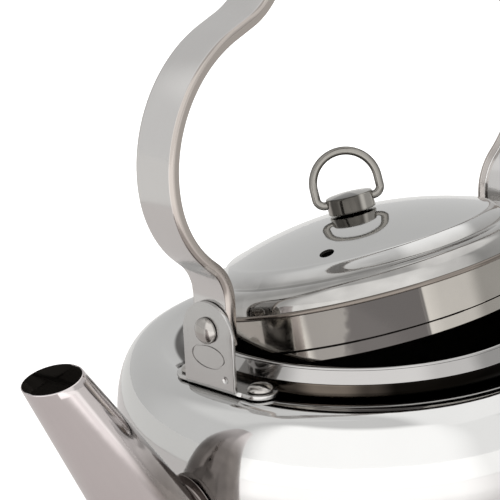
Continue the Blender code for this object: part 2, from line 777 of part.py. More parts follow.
def lid_shell(pivot):
    steel = material("polished_lid_steel", (0.78, 0.77, 0.75), 0.05)
    lid = finished("lid_shell", turned(lid_outline(), LARGE_SEGMENTS), steel)
    place_in_lid(lid, pivot)
    shape = bmesh.new()
    x, y = polar(VENT_PLACE_RADIUS, VENT_AZIMUTH)
    drill(shape, VENT_RADIUS, (x, y, RIDGE_RISE - OVERRUN), (x, y, KNOB_SEAT + OVERRUN))
    drill(shape, SCREW_HOLE_RADIUS, (0, 0, RIDGE_RISE), (0, 0, KNOB_SEAT + OVERRUN))
    tool = finished("lid_hole_cutter", shape)
    place_in_lid(tool, pivot)
    combine(lid, tool)


def lid_skirt(pivot):
    """A plain collar under the lid, with a shelf welded below the crease and a stepped lower edge."""
    steel = material("polished_skirt_steel", (0.7, 0.68, 0.65), 0.12)
    shelf = CREASE_RISE - LID_SHEET - SEAT_GAP
    corner = (SKIRT_RADIUS - SKIRT_CORNER_RADIUS, shelf - SKIRT_CORNER_RADIUS)
    outside = [(SKIRT_RADIUS - SKIRT_SHELF, shelf)]
    outside += arc(corner, SKIRT_CORNER_RADIUS, 90, 0, 2)
    outside += [
        (SKIRT_RADIUS, -SKIRT_LIP_DROP),
        (SKIRT_RADIUS - SKIRT_LIP_STEP, -SKIRT_LIP_DROP - SKIRT_LIP_STEP),
        (SKIRT_RADIUS - SKIRT_LIP_STEP, -SKIRT_DROP),
    ]
    inside = moved_left(outside, -SKIRT_SHEET)
    skirt = finished("lid_skirt", turned(outside + inside[::-1], LARGE_SEGMENTS), steel)
    place_in_lid(skirt, pivot)


def lid_knob(pivot):
    """A short turned button with a blind cross hole on each side for the ring."""
    steel = material("polished_knob_steel", (0.75, 0.74, 0.72), 0.1)
    crown = KNOB_HEIGHT - KNOB_CROWN
    outline = [(0, KNOB_HEIGHT)]
    for share in (0.4, 0.7):
        outline.append((KNOB_RADIUS * share, KNOB_HEIGHT - KNOB_CROWN * share ** 2))
    outline += [
        (KNOB_RADIUS - KNOB_EDGE, crown), (KNOB_RADIUS, crown - KNOB_EDGE),
        (KNOB_RADIUS, KNOB_EDGE), (KNOB_RADIUS - KNOB_EDGE, 0), (0, 0),
    ]
    knob = finished("lid_knob", turned(outline, SMALL_SEGMENTS + 8), steel)
    place_in_lid(knob, pivot, KNOB_SEAT)
    shape = bmesh.new()
    for side in (-1, 1):
        start = (*polar(side * (RING_END - HOLE_PLAY), RING_AZIMUTH), KNOB_HOLE_RISE)
        end = (*polar(side * (KNOB_RADIUS + OVERRUN), RING_AZIMUTH), KNOB_HOLE_RISE)
        drill(shape, RING_HOLE_RADIUS, start, end)
    drill(shape, SCREW_HOLE_RADIUS, (0, 0, -OVERRUN), (0, 0, SCREW_LENGTH_IN_KNOB + HOLE_PLAY))
    tool = finished("knob_hole_cutter", shape)
    place_in_lid(tool, pivot, KNOB_SEAT)
    combine(knob, tool)


def knob_fixing(pivot):
    """The washer and the screw that hold the knob from under the lid."""
    steel = material("zinc_screw_steel", (0.62, 0.61, 0.6), 0.3)
    washer_top = dome_height(KNOB_WASHER_RADIUS) - LID_SHEET - SEAT_GAP
    washer = flat_ring(SCREW_HOLE_RADIUS, KNOB_WASHER_RADIUS, WASHER_SHEET)
    place_in_lid(finished("knob_washer", washer, steel), pivot, washer_top)
    head = washer_top - WASHER_SHEET - SEAT_GAP
    top = KNOB_SEAT + SCREW_LENGTH_IN_KNOB - head
    outline = [
        (0, top), (SCREW_RADIUS, top), (SCREW_RADIUS, 0), (SCREW_HEAD_RADIUS, 0),
        (SCREW_HEAD_RADIUS, -SCREW_HEAD_HEIGHT / 2), (SCREW_HEAD_RADIUS / 2, -SCREW_HEAD_HEIGHT),
        (0, -SCREW_HEAD_HEIGHT),
    ]
    place_in_lid(finished("knob_screw", turned(outline, SMALL_SEGMENTS), steel), pivot, head)


def knob_ring(pivot):
    """A D of bent wire whose ends sit in the knob, drawn upright about its own hinge axis."""
    half = [(RING_END, 0)]
    half += arc((RING_ARCH_RADIUS - RING_CORNER_RADIUS, RING_CORNER_RADIUS), RING_CORNER_RADIUS, -90, 0, 3)
    half += arc((0, RING_LEG), RING_ARCH_RADIUS, 0, 90, 7)
    points = half + [(-x, z) for x, z in half[-2::-1]]
    wire = bpy.data.curves.new("knob_ring", "CURVE")
    wire.dimensions = "3D"
    wire.bevel_depth = RING_WIRE_RADIUS
    wire.bevel_resolution = 2
    wire.use_fill_caps = True
    line = wire.splines.new("POLY")
    line.points.add(len(points) - 1)
    for target, (x, z) in zip(line.points, points):
        target.co = (x, 0, z, 1)
    wire.materials.append(material("ring_wire_steel", (0.72, 0.71, 0.69), 0.12))
    ring = bpy.data.objects.new("knob_ring", wire)
    bpy.context.scene.collection.objects.link(ring)
    place_in_lid(ring, pivot, KNOB_SEAT + KNOB_HOLE_RISE)
    ring.rotation_euler = (0, 0, math.radians(RING_AZIMUTH))


def main():
    clear_scene()
    body_shell()
    base_pan()
    spout_tube()
    ears()
    ear_rivets()
    bail()
    pivot_rivets()
    pivot = tipping_empty()
    lid_shell(pivot)
    lid_skirt(pivot)
    lid_knob(pivot)
    knob_fixing(pivot)
    knob_ring(pivot)


main()
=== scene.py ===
import math

import bmesh
import bpy
from mathutils import Matrix, Quaternion, Vector


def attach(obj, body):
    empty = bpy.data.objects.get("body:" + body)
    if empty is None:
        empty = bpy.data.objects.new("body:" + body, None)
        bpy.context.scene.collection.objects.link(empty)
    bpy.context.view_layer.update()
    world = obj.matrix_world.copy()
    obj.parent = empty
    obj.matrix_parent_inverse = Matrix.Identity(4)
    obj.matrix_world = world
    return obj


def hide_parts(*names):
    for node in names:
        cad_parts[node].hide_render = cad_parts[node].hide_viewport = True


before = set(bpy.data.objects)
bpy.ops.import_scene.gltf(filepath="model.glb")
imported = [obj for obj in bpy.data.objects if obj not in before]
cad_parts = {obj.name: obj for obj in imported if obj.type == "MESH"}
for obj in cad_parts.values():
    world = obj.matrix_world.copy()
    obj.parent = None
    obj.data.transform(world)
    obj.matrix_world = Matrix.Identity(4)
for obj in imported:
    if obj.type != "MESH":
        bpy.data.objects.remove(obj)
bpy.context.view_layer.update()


# Body wall
# The body is drawn from one sheet of stainless steel and polished like a mirror. Its lower
# edge is turned in, its shoulder rolls over into a gutter, and the neck stands in the gutter.
# Behind the spout the wall is pierced in brick rows, so that it strains the tea.
SHEET = 0.0008
BODY_RADIUS = 0.0751
BODY_HEIGHT = 0.098
BASE_OPENING = (0.062, 0.0005)
CORNER_RADIUS = 0.0065
CORNER_HEIGHT = 0.007
SHOULDER_FOOT = BODY_HEIGHT - 0.0333
SHOULDER_FULLNESS = 0.772
CREST_RADIUS = 0.0613
CREST_HEIGHT = 0.0908
GUTTER_RADIUS = 0.0558
GUTTER_HEIGHT = 0.0898
GUTTER_FILLET = 0.0035
NECK_RADIUS = 0.0523
NECK_TOP = 0.0957
HOLE_RADIUS = 0.002
HOLE_PITCH = 0.006
STRAINER_MIDDLE = 0.0394
STRAINER_HALF_WIDTH = 0.0097
STRAINER_HALF_HEIGHT = 0.0208
LATHE_STEPS = 192


class Wire:
    """An output socket of a shader node. Arithmetic on it adds the Math nodes."""

    def __init__(self, finish, socket):
        self.finish = finish
        self.socket = socket

    def math(self, operation, *others):
        values = dict(enumerate((self, *others)))
        return self.finish.node("Math", {"operation": operation}, values)

    def __add__(self, other):
        return self.math("ADD", other)

    def __sub__(self, other):
        return self.math("SUBTRACT", other)

    def __mul__(self, other):
        return self.math("MULTIPLY", other)

    def __pow__(self, other):
        return self.math("POWER", other)

    __radd__ = __add__


class Finish:
    """The shader of a material or of the room, put together node by node."""

    def __init__(self, owner):
        owner.use_nodes = True
        self.owner = owner
        self.tree = owner.node_tree
        self.surface = self.tree.nodes.get("Principled BSDF")

    def node(self, kind, settings, sockets, output=0):
        """Adds a shader node, sets it up, joins its sockets, and returns one output or a list."""
        made = self.tree.nodes.new("ShaderNode" + kind)
        for name, value in settings.items():
            setattr(made, name, value)
        for name, value in sockets.items():
            self.join(made.inputs[name], value)
        if isinstance(output, tuple):
            return [Wire(self, made.outputs[name]) for name in output]
        return Wire(self, made.outputs[output])

    def join(self, socket, value):
        if isinstance(value, Wire):
            self.tree.links.new(value.socket, socket)
        else:
            socket.default_value = value

    def set(self, **values):
        """Sets the shader's own sockets. An underscore in a name stands for a space."""
        for name, value in values.items():
            self.join(self.surface.inputs[name.replace("_", " ")], value)

    def place(self, centre=(0, 0, 0), turn=(0, 0, 0), scale=(1, 1, 1)):
        """The object's own coordinates, moved to centre, turned and scaled."""
        where = self.node("TexCoord", {}, {}, "Object")
        moved = self.node("Mapping", {"vector_type": "TEXTURE"}, {
            "Vector": where, "Location": centre, "Rotation": turn,
        })
        return self.node("Mapping", {"vector_type": "POINT"}, {"Vector": moved, "Scale": scale})

    def noise(self, where, scale, detail, roughness):
        return self.node("TexNoise", {}, {
            "Vector": where, "Scale": scale, "Detail": detail, "Roughness": roughness,
        }, "Fac")

    def mixed(self, share, first, second):
        """A colour between the two, by the share."""
        return self.node("Mix", {"data_type": "RGBA"}, {0: share, 6: first, 7: second}, 2)

    def bumped(self, height, distance):
        bump = self.node("Bump", {}, {"Height": height, "Distance": distance}, "Normal")
        self.set(Normal=bump)


def steel(name):
    finish = Finish(bpy.data.materials.new(name))
    finish.set(Metallic=1.0)
    return finish


def rounds(finish, axis=(0, 0, 0), turn=(0, 0, 0)):
    """Coordinates of a turned piece: distance from its axis, angle about it, and height."""
    x, y, z = finish.node("SeparateXYZ", {}, {0: finish.place(axis, turn)}, (0, 1, 2))
    radius = (x * x + y * y) ** 0.5
    angle = y.math("ARCTAN2", x)
    return radius, angle, z


def soft(finish, wire, low, high):
    """A soft step from 0 at low to 1 at high."""
    return finish.node("MapRange", {"interpolation_type": "SMOOTHSTEP"}, {
        "Value": wire, "From Min": low, "From Max": high,
    })


def streaked(finish, coordinates, across, round_about, detail=4.0, roughness=0.7):
    """Noise drawn out round the axis of a turned piece."""
    radius, angle, height = coordinates
    where = finish.node("CombineXYZ", {}, {
        0: radius * across, 1: angle * round_about, 2: height * across,
    })
    return finish.noise(where, 1.0, detail, roughness)


def shades(finish, share, colour, low, high):
    """A colour that goes from low to high times as bright, by the share."""
    first, second = ((*(channel * level for channel in colour), 1) for level in (low, high))
    return finish.mixed(share, first, second)


def polished(name, colour, roughness, axis=(0, 0, 0), turn=(0, 0, 0), painted_shade_and_reflection=()):
    """Mirror polish from a buffing wheel on a turned piece: faint rings, haze and fingermarks.

    Each pair in the last argument paints shade or a reflection over the finish: a share, which
    says where that is, and the colour there.
    """
    finish = steel(name)
    coordinates = rounds(finish, axis, turn)
    rings = streaked(finish, coordinates, 1500, 3)
    haze = finish.noise(finish.place(), 35.0, 4.0, 0.6)
    marks = finish.noise(finish.place(scale=(1, 1, 1.6)), 120.0, 2.0, 0.4)
    smear = (haze * 1.6 - 0.55).math("MAXIMUM", 0.0)
    shown = shades(finish, haze, colour, 1, 0.93)
    # Painted shade and reflections: each pair tints the finish where its share says.
    for where, dull in painted_shade_and_reflection:
        spots = streaked(finish, coordinates, 90, 2.5, 3.0, 0.6)
        patchy = shades(finish, spots, dull, 0.45, 1.5)
        shown = finish.mixed(where(finish, *coordinates), shown, patchy)
    finish.set(
        Base_Color=shown,
        Roughness=roughness + smear * 0.045 + rings * 0.025 + marks * 0.015,
    )
    finish.bumped(rings * 0.15 + haze * 6, 0.00001)
    return finish.owner


def raw(name, colour, roughness):
    """The unpolished inside of a pressing: dull, a little stained, with the marks of the press. The
    dark colours given to it are painted shade of the insides.
    """
    finish = steel(name)
    stain = finish.noise(finish.place(), 45.0, 4.0, 0.65)
    marks = finish.noise(finish.place(scale=(1, 1, 0.2)), 900.0, 3.0, 0.6)
    finish.set(
        Base_Color=shades(finish, stain, colour, 1, 0.7),
        Roughness=roughness + marks * 0.12,
        Specular_Tint=(0.12, 0.11, 0.1, 1),
    )
    finish.bumped(marks, 0.00001)
    return finish.owner


def arc(centre, radius, start, end, steps):
    """Points on an arc, angles in degrees, both ends included."""
    points = []
    for step in range(steps + 1):
        angle = math.radians(start + (end - start) * step / steps)
        points.append((centre[0] + radius * math.cos(angle), centre[1] + radius * math.sin(angle)))
    return points


def turned(outline, closed=False, steps=LATHE_STEPS):
    """A shape spun about Z from a line of (radius, height) points."""
    shape = bmesh.new()
    corners = [shape.verts.new((radius, 0, height)) for radius, height in outline]
    edges = [shape.edges.new(pair) for pair in zip(corners, corners[1:])]
    if closed:
        edges.append(shape.edges.new((corners[-1], corners[0])))
    bmesh.ops.spin(
        shape, geom=corners + edges, axis=(0, 0, 1), cent=(0, 0, 0),
        angle=math.tau, steps=steps, use_merge=True,
    )
    bmesh.ops.remove_doubles(shape, verts=shape.verts, dist=1e-7)
    return shape


def pierce(shape, centre, across, up, radius, room=0.0):
    """Opens a round hole: the faces inside go, and their edge slides onto the circle.

    Room is how far round the hole the skin is made finer first, in radii, if it isn't fine yet.
    """
    centre, across, up = Vector(centre), Vector(across), Vector(up)
    off = across.cross(up)
    inside, reach = radius * 0.93, radius * 1.45

    def flat(corner):
        way = corner.co - centre
        return Vector((way.dot(across), way.dot(up))), abs(way.dot(off))

    def near(corner, limit):
        place, depth = flat(corner)
        return place.length < limit and depth < reach * 1.4

    close = []
    for edge in shape.edges:
        if all(near(corner, radius * room) for corner in edge.verts):
            close.append(edge)
    bmesh.ops.subdivide_edges(shape, edges=close, cuts=2, use_grid_fill=True)
    gone = [face for face in shape.faces if any(near(corner, inside) for corner in face.verts)]
    bmesh.ops.delete(shape, geom=gone, context="FACES")
    for corner in shape.verts:
        if corner.is_boundary and near(corner, reach):
            place, _ = flat(corner)
            slide = place * (radius / place.length - 1)
            corner.co += across * slide.x + up * slide.y


def outwards(shape):
    bmesh.ops.recalc_face_normals(shape, faces=shape.faces)


def piece(name, shape, body, nodes, material, sharp=35):
    """Makes the mesh a smooth-shaded object, rides it on its body and gives it its finish."""
    mesh = bpy.data.meshes.new(name)
    shape.edges.index_update()
    open_edges = [edge.index for edge in shape.edges if edge.is_boundary]
    shape.to_mesh(mesh)
    shape.free()
    mesh.shade_smooth()
    mesh.set_sharp_from_angle(angle=math.radians(sharp))
    for index in open_edges:
        mesh.edges[index].use_edge_sharp = True
    mesh.materials.append(material)
    made = bpy.data.objects.new(name, mesh)
    bpy.context.scene.collection.objects.link(made)
    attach(made, body)
    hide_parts(*nodes)
    return made


def thickened(made, inside):
    """Gives a skin the sheet's thickness, inwards from its outer face, with a finish inside."""
    made.data.materials.append(inside)
    step = made.modifiers.new("sheet", "SOLIDIFY")
    step.thickness = SHEET
    step.offset = -1
    step.material_offset = 1
    step.material_offset_rim = 1


corner_middle = (BODY_RADIUS - CORNER_RADIUS, CORNER_HEIGHT)
wall = [BASE_OPENING] + arc(corner_middle, CORNER_RADIUS, -90, 0, 12)
for step in range(33):
    angle = math.radians(90 * (1 - step / 32))
    out = (BODY_RADIUS - CREST_RADIUS) * math.sin(angle) ** SHOULDER_FULLNESS
    up = (CREST_HEIGHT - SHOULDER_FOOT) * math.cos(angle) ** SHOULDER_FULLNESS
    wall.append((CREST_RADIUS + out, SHOULDER_FOOT + up))
for step in range(1, 6):
    share = step / 6
    radius = CREST_RADIUS + (GUTTER_RADIUS - CREST_RADIUS) * share
    fall = (CREST_HEIGHT - GUTTER_HEIGHT) * math.sin(math.radians(90 * share))
    wall.append((radius, CREST_HEIGHT - fall))
wall += arc((GUTTER_RADIUS, GUTTER_HEIGHT + GUTTER_FILLET), GUTTER_FILLET, 270, 180, 10)
wall.append((NECK_RADIUS, NECK_TOP))
shape = turned(wall)


def behind_spout(edge):
    return all(corner.co.x < 0 and abs(corner.co.y) < 0.0135 for corner in edge.verts)


def rise(edge):
    return abs(edge.verts[0].co.z - edge.verts[1].co.z)


def on_wall(corner):
    """Whether it lies inside the straight part of the wall, where only new corners are."""
    return CORNER_HEIGHT + 0.0002 < corner.co.z < SHOULDER_FOOT - 0.0002


# The skin there is made fine enough for holes that lie close together.
uprights = [edge for edge in shape.edges if behind_spout(edge) and rise(edge) > 0.05]
bmesh.ops.subdivide_edges(shape, edges=uprights, cuts=134, use_grid_fill=True)
levels = []
for edge in shape.edges:
    if behind_spout(edge) and rise(edge) < 0.00001 and all(map(on_wall, edge.verts)):
        levels.append(edge)
bmesh.ops.subdivide_edges(shape, edges=levels, cuts=5, use_grid_fill=True)
for corner in filter(on_wall, shape.verts):
    corner.co.xy *= BODY_RADIUS / corner.co.xy.length
for row in range(-3, 4):
    room = STRAINER_HALF_WIDTH * math.sqrt(1 - (row * HOLE_PITCH / STRAINER_HALF_HEIGHT) ** 2)
    shift = HOLE_PITCH / 2 * (row % 2)
    most = math.floor((room - shift) / HOLE_PITCH)
    for column in range(-most - row % 2, most + 1):
        side = column * HOLE_PITCH + shift
        out = -math.sqrt(BODY_RADIUS ** 2 - side ** 2)
        across = Vector((-side, out, 0)).normalized()
        height = STRAINER_MIDDLE + row * HOLE_PITCH
        pierce(shape, (out, side, height), across, (0, 0, 1), HOLE_RADIUS)
outwards(shape)


# Painted shade: the whole gutter is darkened, as shade falls in it.
def gutter_shade(finish, radius, angle, height):
    return soft(finish, radius, 0.0574, 0.0562)


def gutter_reflection(finish, radius, angle, height):
    """Painted reflection: a paler brown patch in the gutter, left of the front."""
    aside = (angle + math.radians(149)).math("ABSOLUTE")
    return soft(finish, aside, 0.2, 0.06) * gutter_shade(finish, radius, angle, height)


def lid_shadow_in_gutter(finish, radius, angle, height):
    """Painted shade: the part of the gutter under the raised side of the lid, made nearly black."""
    aside = (angle + math.radians(100)).math("ABSOLUTE")
    return soft(finish, aside, 0.63, 0.5) * gutter_shade(finish, radius, angle, height)


# Painted shade in the gutter, nearly black under the lid's raised side, and a paler painted
# reflection.
wall_steel = polished("polished_body_steel", (0.61, 0.607, 0.6), 0.04, painted_shade_and_reflection=(
    (gutter_shade, (0.028, 0.023, 0.019)),
    (gutter_reflection, (0.1, 0.083, 0.068)),
    (lid_shadow_in_gutter, (0.003, 0.0025, 0.002)),
))
# Painted shade: the insides and the rims of holes get a dark colour.
shaded_inner_steel = raw("painted_shade_inner_steel", (0.1, 0.094, 0.088), 0.45)
body_wall = piece("body_wall", shape, "kettle", ["body_shell"], wall_steel)
thickened(body_wall, shaded_inner_steel)


# Rim band
# At the mouth the sheet is rolled into a thin lip and then folded back down over the neck.
# The fold stands out as a sloping bright band with a fine groove below the lip.
LIP_RADIUS = 0.05095
LIP_TUBE = 0.00085
FOLD = ((0.05361, 0.09363), (0.0542, 0.094), (0.05205, 0.0974))


def eased(made, width):
    """Breaks the sharp edges of a piece, as tumbling or buffing does."""
    step = made.modifiers.new("edges", "BEVEL")
    step.width = width
    step.segments = 3
    step.limit_method = "ANGLE"
    step.angle_limit = math.radians(40)
    step.harden_normals = False


band = [(NECK_RADIUS, NECK_TOP), *FOLD]
band += arc((LIP_RADIUS, BODY_HEIGHT - LIP_TUBE), LIP_TUBE, -8, 229.7, 20)
band.append((NECK_RADIUS - SHEET, NECK_TOP))
shape = turned(band, closed=True)
outwards(shape)
band_steel = polished("polished_rim_steel", (0.4, 0.39, 0.382), 0.06)
rim_band = piece("rim_band", shape, "kettle", ["body_shell"], band_steel)
eased(rim_band, 0.00012)


# Base pan
# A shallow pan closes the bottom. Its flange lies on the turned-in edge of the wall, and its
# underside keeps the rings that the finishing belt left on it.
PAN_STEP = 0.0617
PAN_EDGE = 0.0683
PAN_LEDGE = 0.0016


def ground(name, colour, roughness, axis=(0, 0, 0), turn=(0, 0, 0)):
    """Plain machined steel: clear concentric grooves and a dull grey haze."""
    finish = steel(name)
    grooves = streaked(finish, rounds(finish, axis, turn), 2600, 2, 5.0, 0.75)
    haze = finish.noise(finish.place(), 60.0, 3.0, 0.6)
    finish.set(
        Base_Color=shades(finish, haze, colour, 1, 0.86),
        Roughness=roughness + grooves * 0.12 + haze * 0.08,
    )
    finish.bumped(grooves, 0.00001)
    return finish.owner


inner, top = PAN_STEP - SHEET, PAN_LEDGE + SHEET
pan = [(0, 0)] + arc((inner, SHEET), SHEET, -90, 0, 6)
pan += [(PAN_STEP, PAN_LEDGE), (PAN_EDGE, PAN_LEDGE), (PAN_EDGE, top)]
pan += [(inner, top), (inner, SHEET), (0, SHEET)]
shape = turned(pan)
outwards(shape)
pan_steel = ground("ground_pan_steel", (0.5, 0.49, 0.475), 0.22)
eased(piece("stepped_pan", shape, "kettle", ["base_pan"], pan_steel), 0.0002)


# Spout
# The spout is a cone rolled from one sheet and welded along its underside, cut off at a slant
# so that it pours cleanly. Its foot is flared into a collar that is welded to the wall.
MOUTH = Vector((-0.1208, 0, 0.1107))
MOUTH_RADIUS = 0.00806
MOUTH_TAPER = 0.08325
MOUTH_SLANT = math.radians(11)
SPOUT_WAY = Vector((0.0457, 0, -0.0713)).normalized()
SPOUT_UP = SPOUT_WAY.cross(Vector((0, 1, 0)))
SPOUT_LENGTH = 0.08469
WAIST_RADIUS = 0.0137
WAIST_TAPER = 0.0472
WAIST_BLEND = 0.0006
WALL_GAP = 0.0004
SPOUT_ROUND = 96
SPOUT_STEPS = 40


def cone_radius(distance):
    """Outer radius of the cone this far from its mouth, with a soft turn at the waist."""
    steep = MOUTH_RADIUS + MOUTH_TAPER * distance
    shallow = WAIST_RADIUS + WAIST_TAPER * (distance - 0.8 * SPOUT_LENGTH)
    apart = math.sqrt((steep - shallow) ** 2 + WAIST_BLEND ** 2)
    return (steep + shallow - apart) / 2 + WAIST_BLEND * 0.12


def way_out(turn):
    return Vector((0, 1, 0)) * math.cos(turn) + SPOUT_UP * math.sin(turn)


def cone_point(turn, distance, inset):
    return MOUTH + SPOUT_WAY * distance + way_out(turn) * (cone_radius(distance) - inset)


def foot_distance(turn, inset, above):
    """How far along the cone its skin meets the wall, or a layer that far above the wall."""
    near, far = 0.03, 0.125
    for _ in range(40):
        middle = (near + far) / 2
        point = cone_point(turn, middle, inset)
        if math.hypot(point.x, point.y) > BODY_RADIUS + above and point.x < 0:
            near = middle
        else:
            far = middle
    return near


def mouth_distance(turn, inset, lead):
    """Where the slanted cut meets the cone's skin, moved outwards by lead."""
    plane = Vector((-math.sin(MOUTH_SLANT), 0, math.cos(MOUTH_SLANT)))
    offset = way_out(turn) * (cone_radius(0) - inset)
    return -lead - offset.dot(plane) / SPOUT_WAY.dot(plane)


def skin(inset):
    """Rings of the cone's skin from the mouth to the foot."""
    rings = []
    for step in range(SPOUT_STEPS + 1):
        share = step / SPOUT_STEPS
        ring = []
        for turn in turns:
            start = mouth_distance(turn, inset, 0)
            end = foot_distance(turn, inset, WALL_GAP)
            ring.append(cone_point(turn, start + (end - start) * share, inset))
        rings.append(ring)
    return rings


def looped(shape, points):
    """Corners at the points, and the edges that join them in a ring."""
    corners = [shape.verts.new(point) for point in points]
    edges = [shape.edges.new(pair) for pair in zip(corners[-1:] + corners[:-1], corners)]
    return corners, edges


def lofted(shape, rings, loop=False):
    """Bridges rings of as many points each, one after the other."""
    edges = [looped(shape, ring)[1] for ring in rings]
    pairs = list(zip(edges, edges[1:]))
    if loop:
        pairs.append((edges[-1], edges[0]))
    for first, second in pairs:
        bmesh.ops.bridge_loops(shape, edges=first + second)
    return edges


turns = [math.tau * step / SPOUT_ROUND for step in range(SPOUT_ROUND)]
rings = skin(0)[::-1]
rolled_edge = ((0.0001, 0.00016), (0.0003, 0.00026), (0.0005, 0.00026), (0.0007, 0.00016))
for inset, lead in rolled_edge:
    rings.append([cone_point(turn, mouth_distance(turn, inset, lead), inset) for turn in turns])
shape = bmesh.new()
lofted(shape, rings + skin(SHEET), loop=True)
outwards(shape)
for face in shape.faces:
    middle = face.calc_center_median() - MOUTH
    distance = middle.dot(SPOUT_WAY)
    aside = (middle - SPOUT_WAY * distance).length
    face.material_index = int(aside < cone_radius(distance) - SHEET * 0.7)


def back_of_spout(finish, radius, angle, height):
    """Painted reflection: the side near the body is darker and browner towards the foot, where the
    wall is mirrored in it.
    """
    x, z = finish.node("SeparateXYZ", {}, {0: finish.place(tuple(MOUTH))}, (0, 2))
    along = x * SPOUT_WAY.x + z * SPOUT_WAY.z
    behind = x * SPOUT_UP.x + z * SPOUT_UP.z
    return soft(finish, behind, -0.0018, 0.001) * soft(finish, along, 0.018, 0.046)


# The spout's dark brown back is a painted reflection of the body.
spout_steel = polished(
    "polished_spout_steel", (0.62, 0.573, 0.57), 0.06,
    painted_shade_and_reflection=((back_of_spout, (0.2, 0.178, 0.168)),),
)
spout_cone = piece("spout_cone", shape, "kettle", ["spout_tube"], spout_steel)
# Painted shade: the insides of the spout and of the lid's collar are near black.
near_black_inside_steel = raw("painted_shade_inside_steel", (0.016, 0.0145, 0.013), 0.5)
spout_cone.data.materials.append(near_black_inside_steel)

# The collar's section, as (inset into the cone, height above the wall), from its top round.
collar = (
    (0, 0.0032), (-0.00005, 0.0025), (-0.00025, 0.002), (-0.0007, 0.00165), (-0.0013, 0.0015),
    (-0.0019, 0.0015), (-0.00225, 0.00142), (-0.00245, 0.0012), (-0.0025, 0.0009),
    (-0.0025, 0.0005), (-0.0023, 0.0003), (0.0004, 0.0003), (0.0004, 0.0028),
)
rings = []
for inset, above in collar:
    rings.append([cone_point(turn, foot_distance(turn, inset, above), inset) for turn in turns])
shape = bmesh.new()
lofted(shape, rings, loop=True)
outwards(shape)
piece("spout_collar", shape, "kettle", ["spout_tube"], spout_steel)


# Ears
# Two tombstone plates are blanked from 1.2 mm sheet. Their feet are bent inwards, lie on the
# crest and are riveted to it. The front one has an oval line and a small punch mark on it.
EAR_FACE = 0.0646
EAR_SHEET = 0.0012
EAR_FOOT_HEIGHT = 0.0911
EAR_ARCH_HEIGHT = 0.0162
EAR_HALF_WIDTH = 0.0097
EAR_BEND_RADIUS = 0.0008
EAR_FOLDS = 10
EAR_TAB_RADIUS = 0.0049
EAR_TAB_FILLET = 0.0015
RIVET_PLACE = 0.058
RIVET_SPREAD = 0.0132
RIVET_HOLE = 0.0021
TAB_ALONG = RIVET_PLACE - (EAR_FACE - EAR_SHEET - EAR_BEND_RADIUS)
PIVOT_HEIGHT = 0.1089
PIVOT_HOLE = 0.0024
OVAL_HEIGHT = 0.1012
OVAL_SIZE = (0.0065, 0.0035)
OVAL_GROOVE = ((0, 0), (0.0003, 0.00008), (0.0003, 0.00042), (0, 0.0005))
MARK_PLACE = (0.0063, 0.0956)
MARK_DENT = ((0, 0.00116), (0.00025, 0.00095), (0.00042, 0.0006), (0.0005, 0.00025))


def brushed(name, colour, roughness, along):
    """Satin steel: short fine scratches one way, with a few deeper ones and a soft haze."""
    finish = steel(name)
    scratch = tuple(60 if index == along else 2600 for index in range(3))
    deeper = tuple(size * 0.35 for size in scratch)
    fine = finish.noise(finish.place(scale=scratch), 1.0, 4.0, 0.7)
    coarse = finish.noise(finish.place(scale=deeper), 1.0, 2.0, 0.5)
    haze = finish.noise(finish.place(), 70.0, 3.0, 0.55)
    finish.set(
        Base_Color=shades(finish, fine * 0.6 + haze * 0.4, colour, 1, 0.84),
        Roughness=roughness + fine * 0.08 + haze * 0.06,
    )
    finish.bumped(fine + coarse * 0.6, 0.00001)
    return finish.owner


def shrunk(outline, distance):
    """A closed outline, going left round, moved inwards by distance."""
    moved = []
    count = len(outline)
    for index, point in enumerate(outline):
        before = Vector(point) - Vector(outline[index - 1])
        after = Vector(outline[(index + 1) % count]) - Vector(point)
        first = Vector((-before.y, before.x)).normalized()
        second = Vector((-after.y, after.x)).normalized()
        mitre = (first + second).normalized()
        moved.append(Vector(point) + mitre * (distance / mitre.dot(second)))
    return moved


def circle(centre, radius, steps, height=1.0):
    points = []
    for step in range(steps):
        angle = math.tau * step / steps
        across, along = radius * math.cos(angle), radius * height * math.sin(angle)
        points.append((centre[0] + across, centre[1] + along))
    return points


def sheet_loops(shape, chain):
    """Bridges (out, outline) loops of a flat blank, where out is the way out of the sheet."""
    rings = [[(out, across, along) for across, along in outline] for out, outline in chain]
    return lofted(shape, rings)


def filled(shape, edges):
    bmesh.ops.triangle_fill(shape, edges=edges, use_beauty=True)


def everything(shape):
    return shape.verts[:] + shape.edges[:] + shape.faces[:]


def bend_length():
    return (EAR_BEND_RADIUS + EAR_SHEET / 2) * math.pi / 2


def ear_outline():
    """The flat blank as (across, along) points, left round. The bend starts at along = 0."""
    top = bend_length() + EAR_ARCH_HEIGHT - EAR_SHEET - EAR_BEND_RADIUS
    fillet = (EAR_HALF_WIDTH + EAR_TAB_FILLET, TAB_ALONG + EAR_TAB_RADIUS + EAR_TAB_FILLET)
    half = arc((RIVET_SPREAD, TAB_ALONG), EAR_TAB_RADIUS, -90, 90, 24)
    half += arc(fillet, EAR_TAB_FILLET, 270, 180, 8)
    half += arc((0, top), EAR_HALF_WIDTH, 0, 90, 24)
    return half + [(-across, along) for across, along in half[-2::-1]]


def folded(point):
    """Where a point of the blank lies once the foot is bent under, on the side of +X."""
    out, across, along = point
    radius = EAR_BEND_RADIUS + EAR_SHEET / 2
    plate = EAR_FACE - EAR_SHEET / 2
    foot = EAR_FOOT_HEIGHT + EAR_SHEET / 2
    if along <= 0:
        return Vector((plate - radius + along, across, foot - out))
    if along >= bend_length():
        return Vector((plate + out, across, foot + radius + along - bend_length()))
    angle = along / radius
    x = plate - radius + (radius + out) * math.sin(angle)
    return Vector((x, across, foot + radius - (radius + out) * math.cos(angle)))


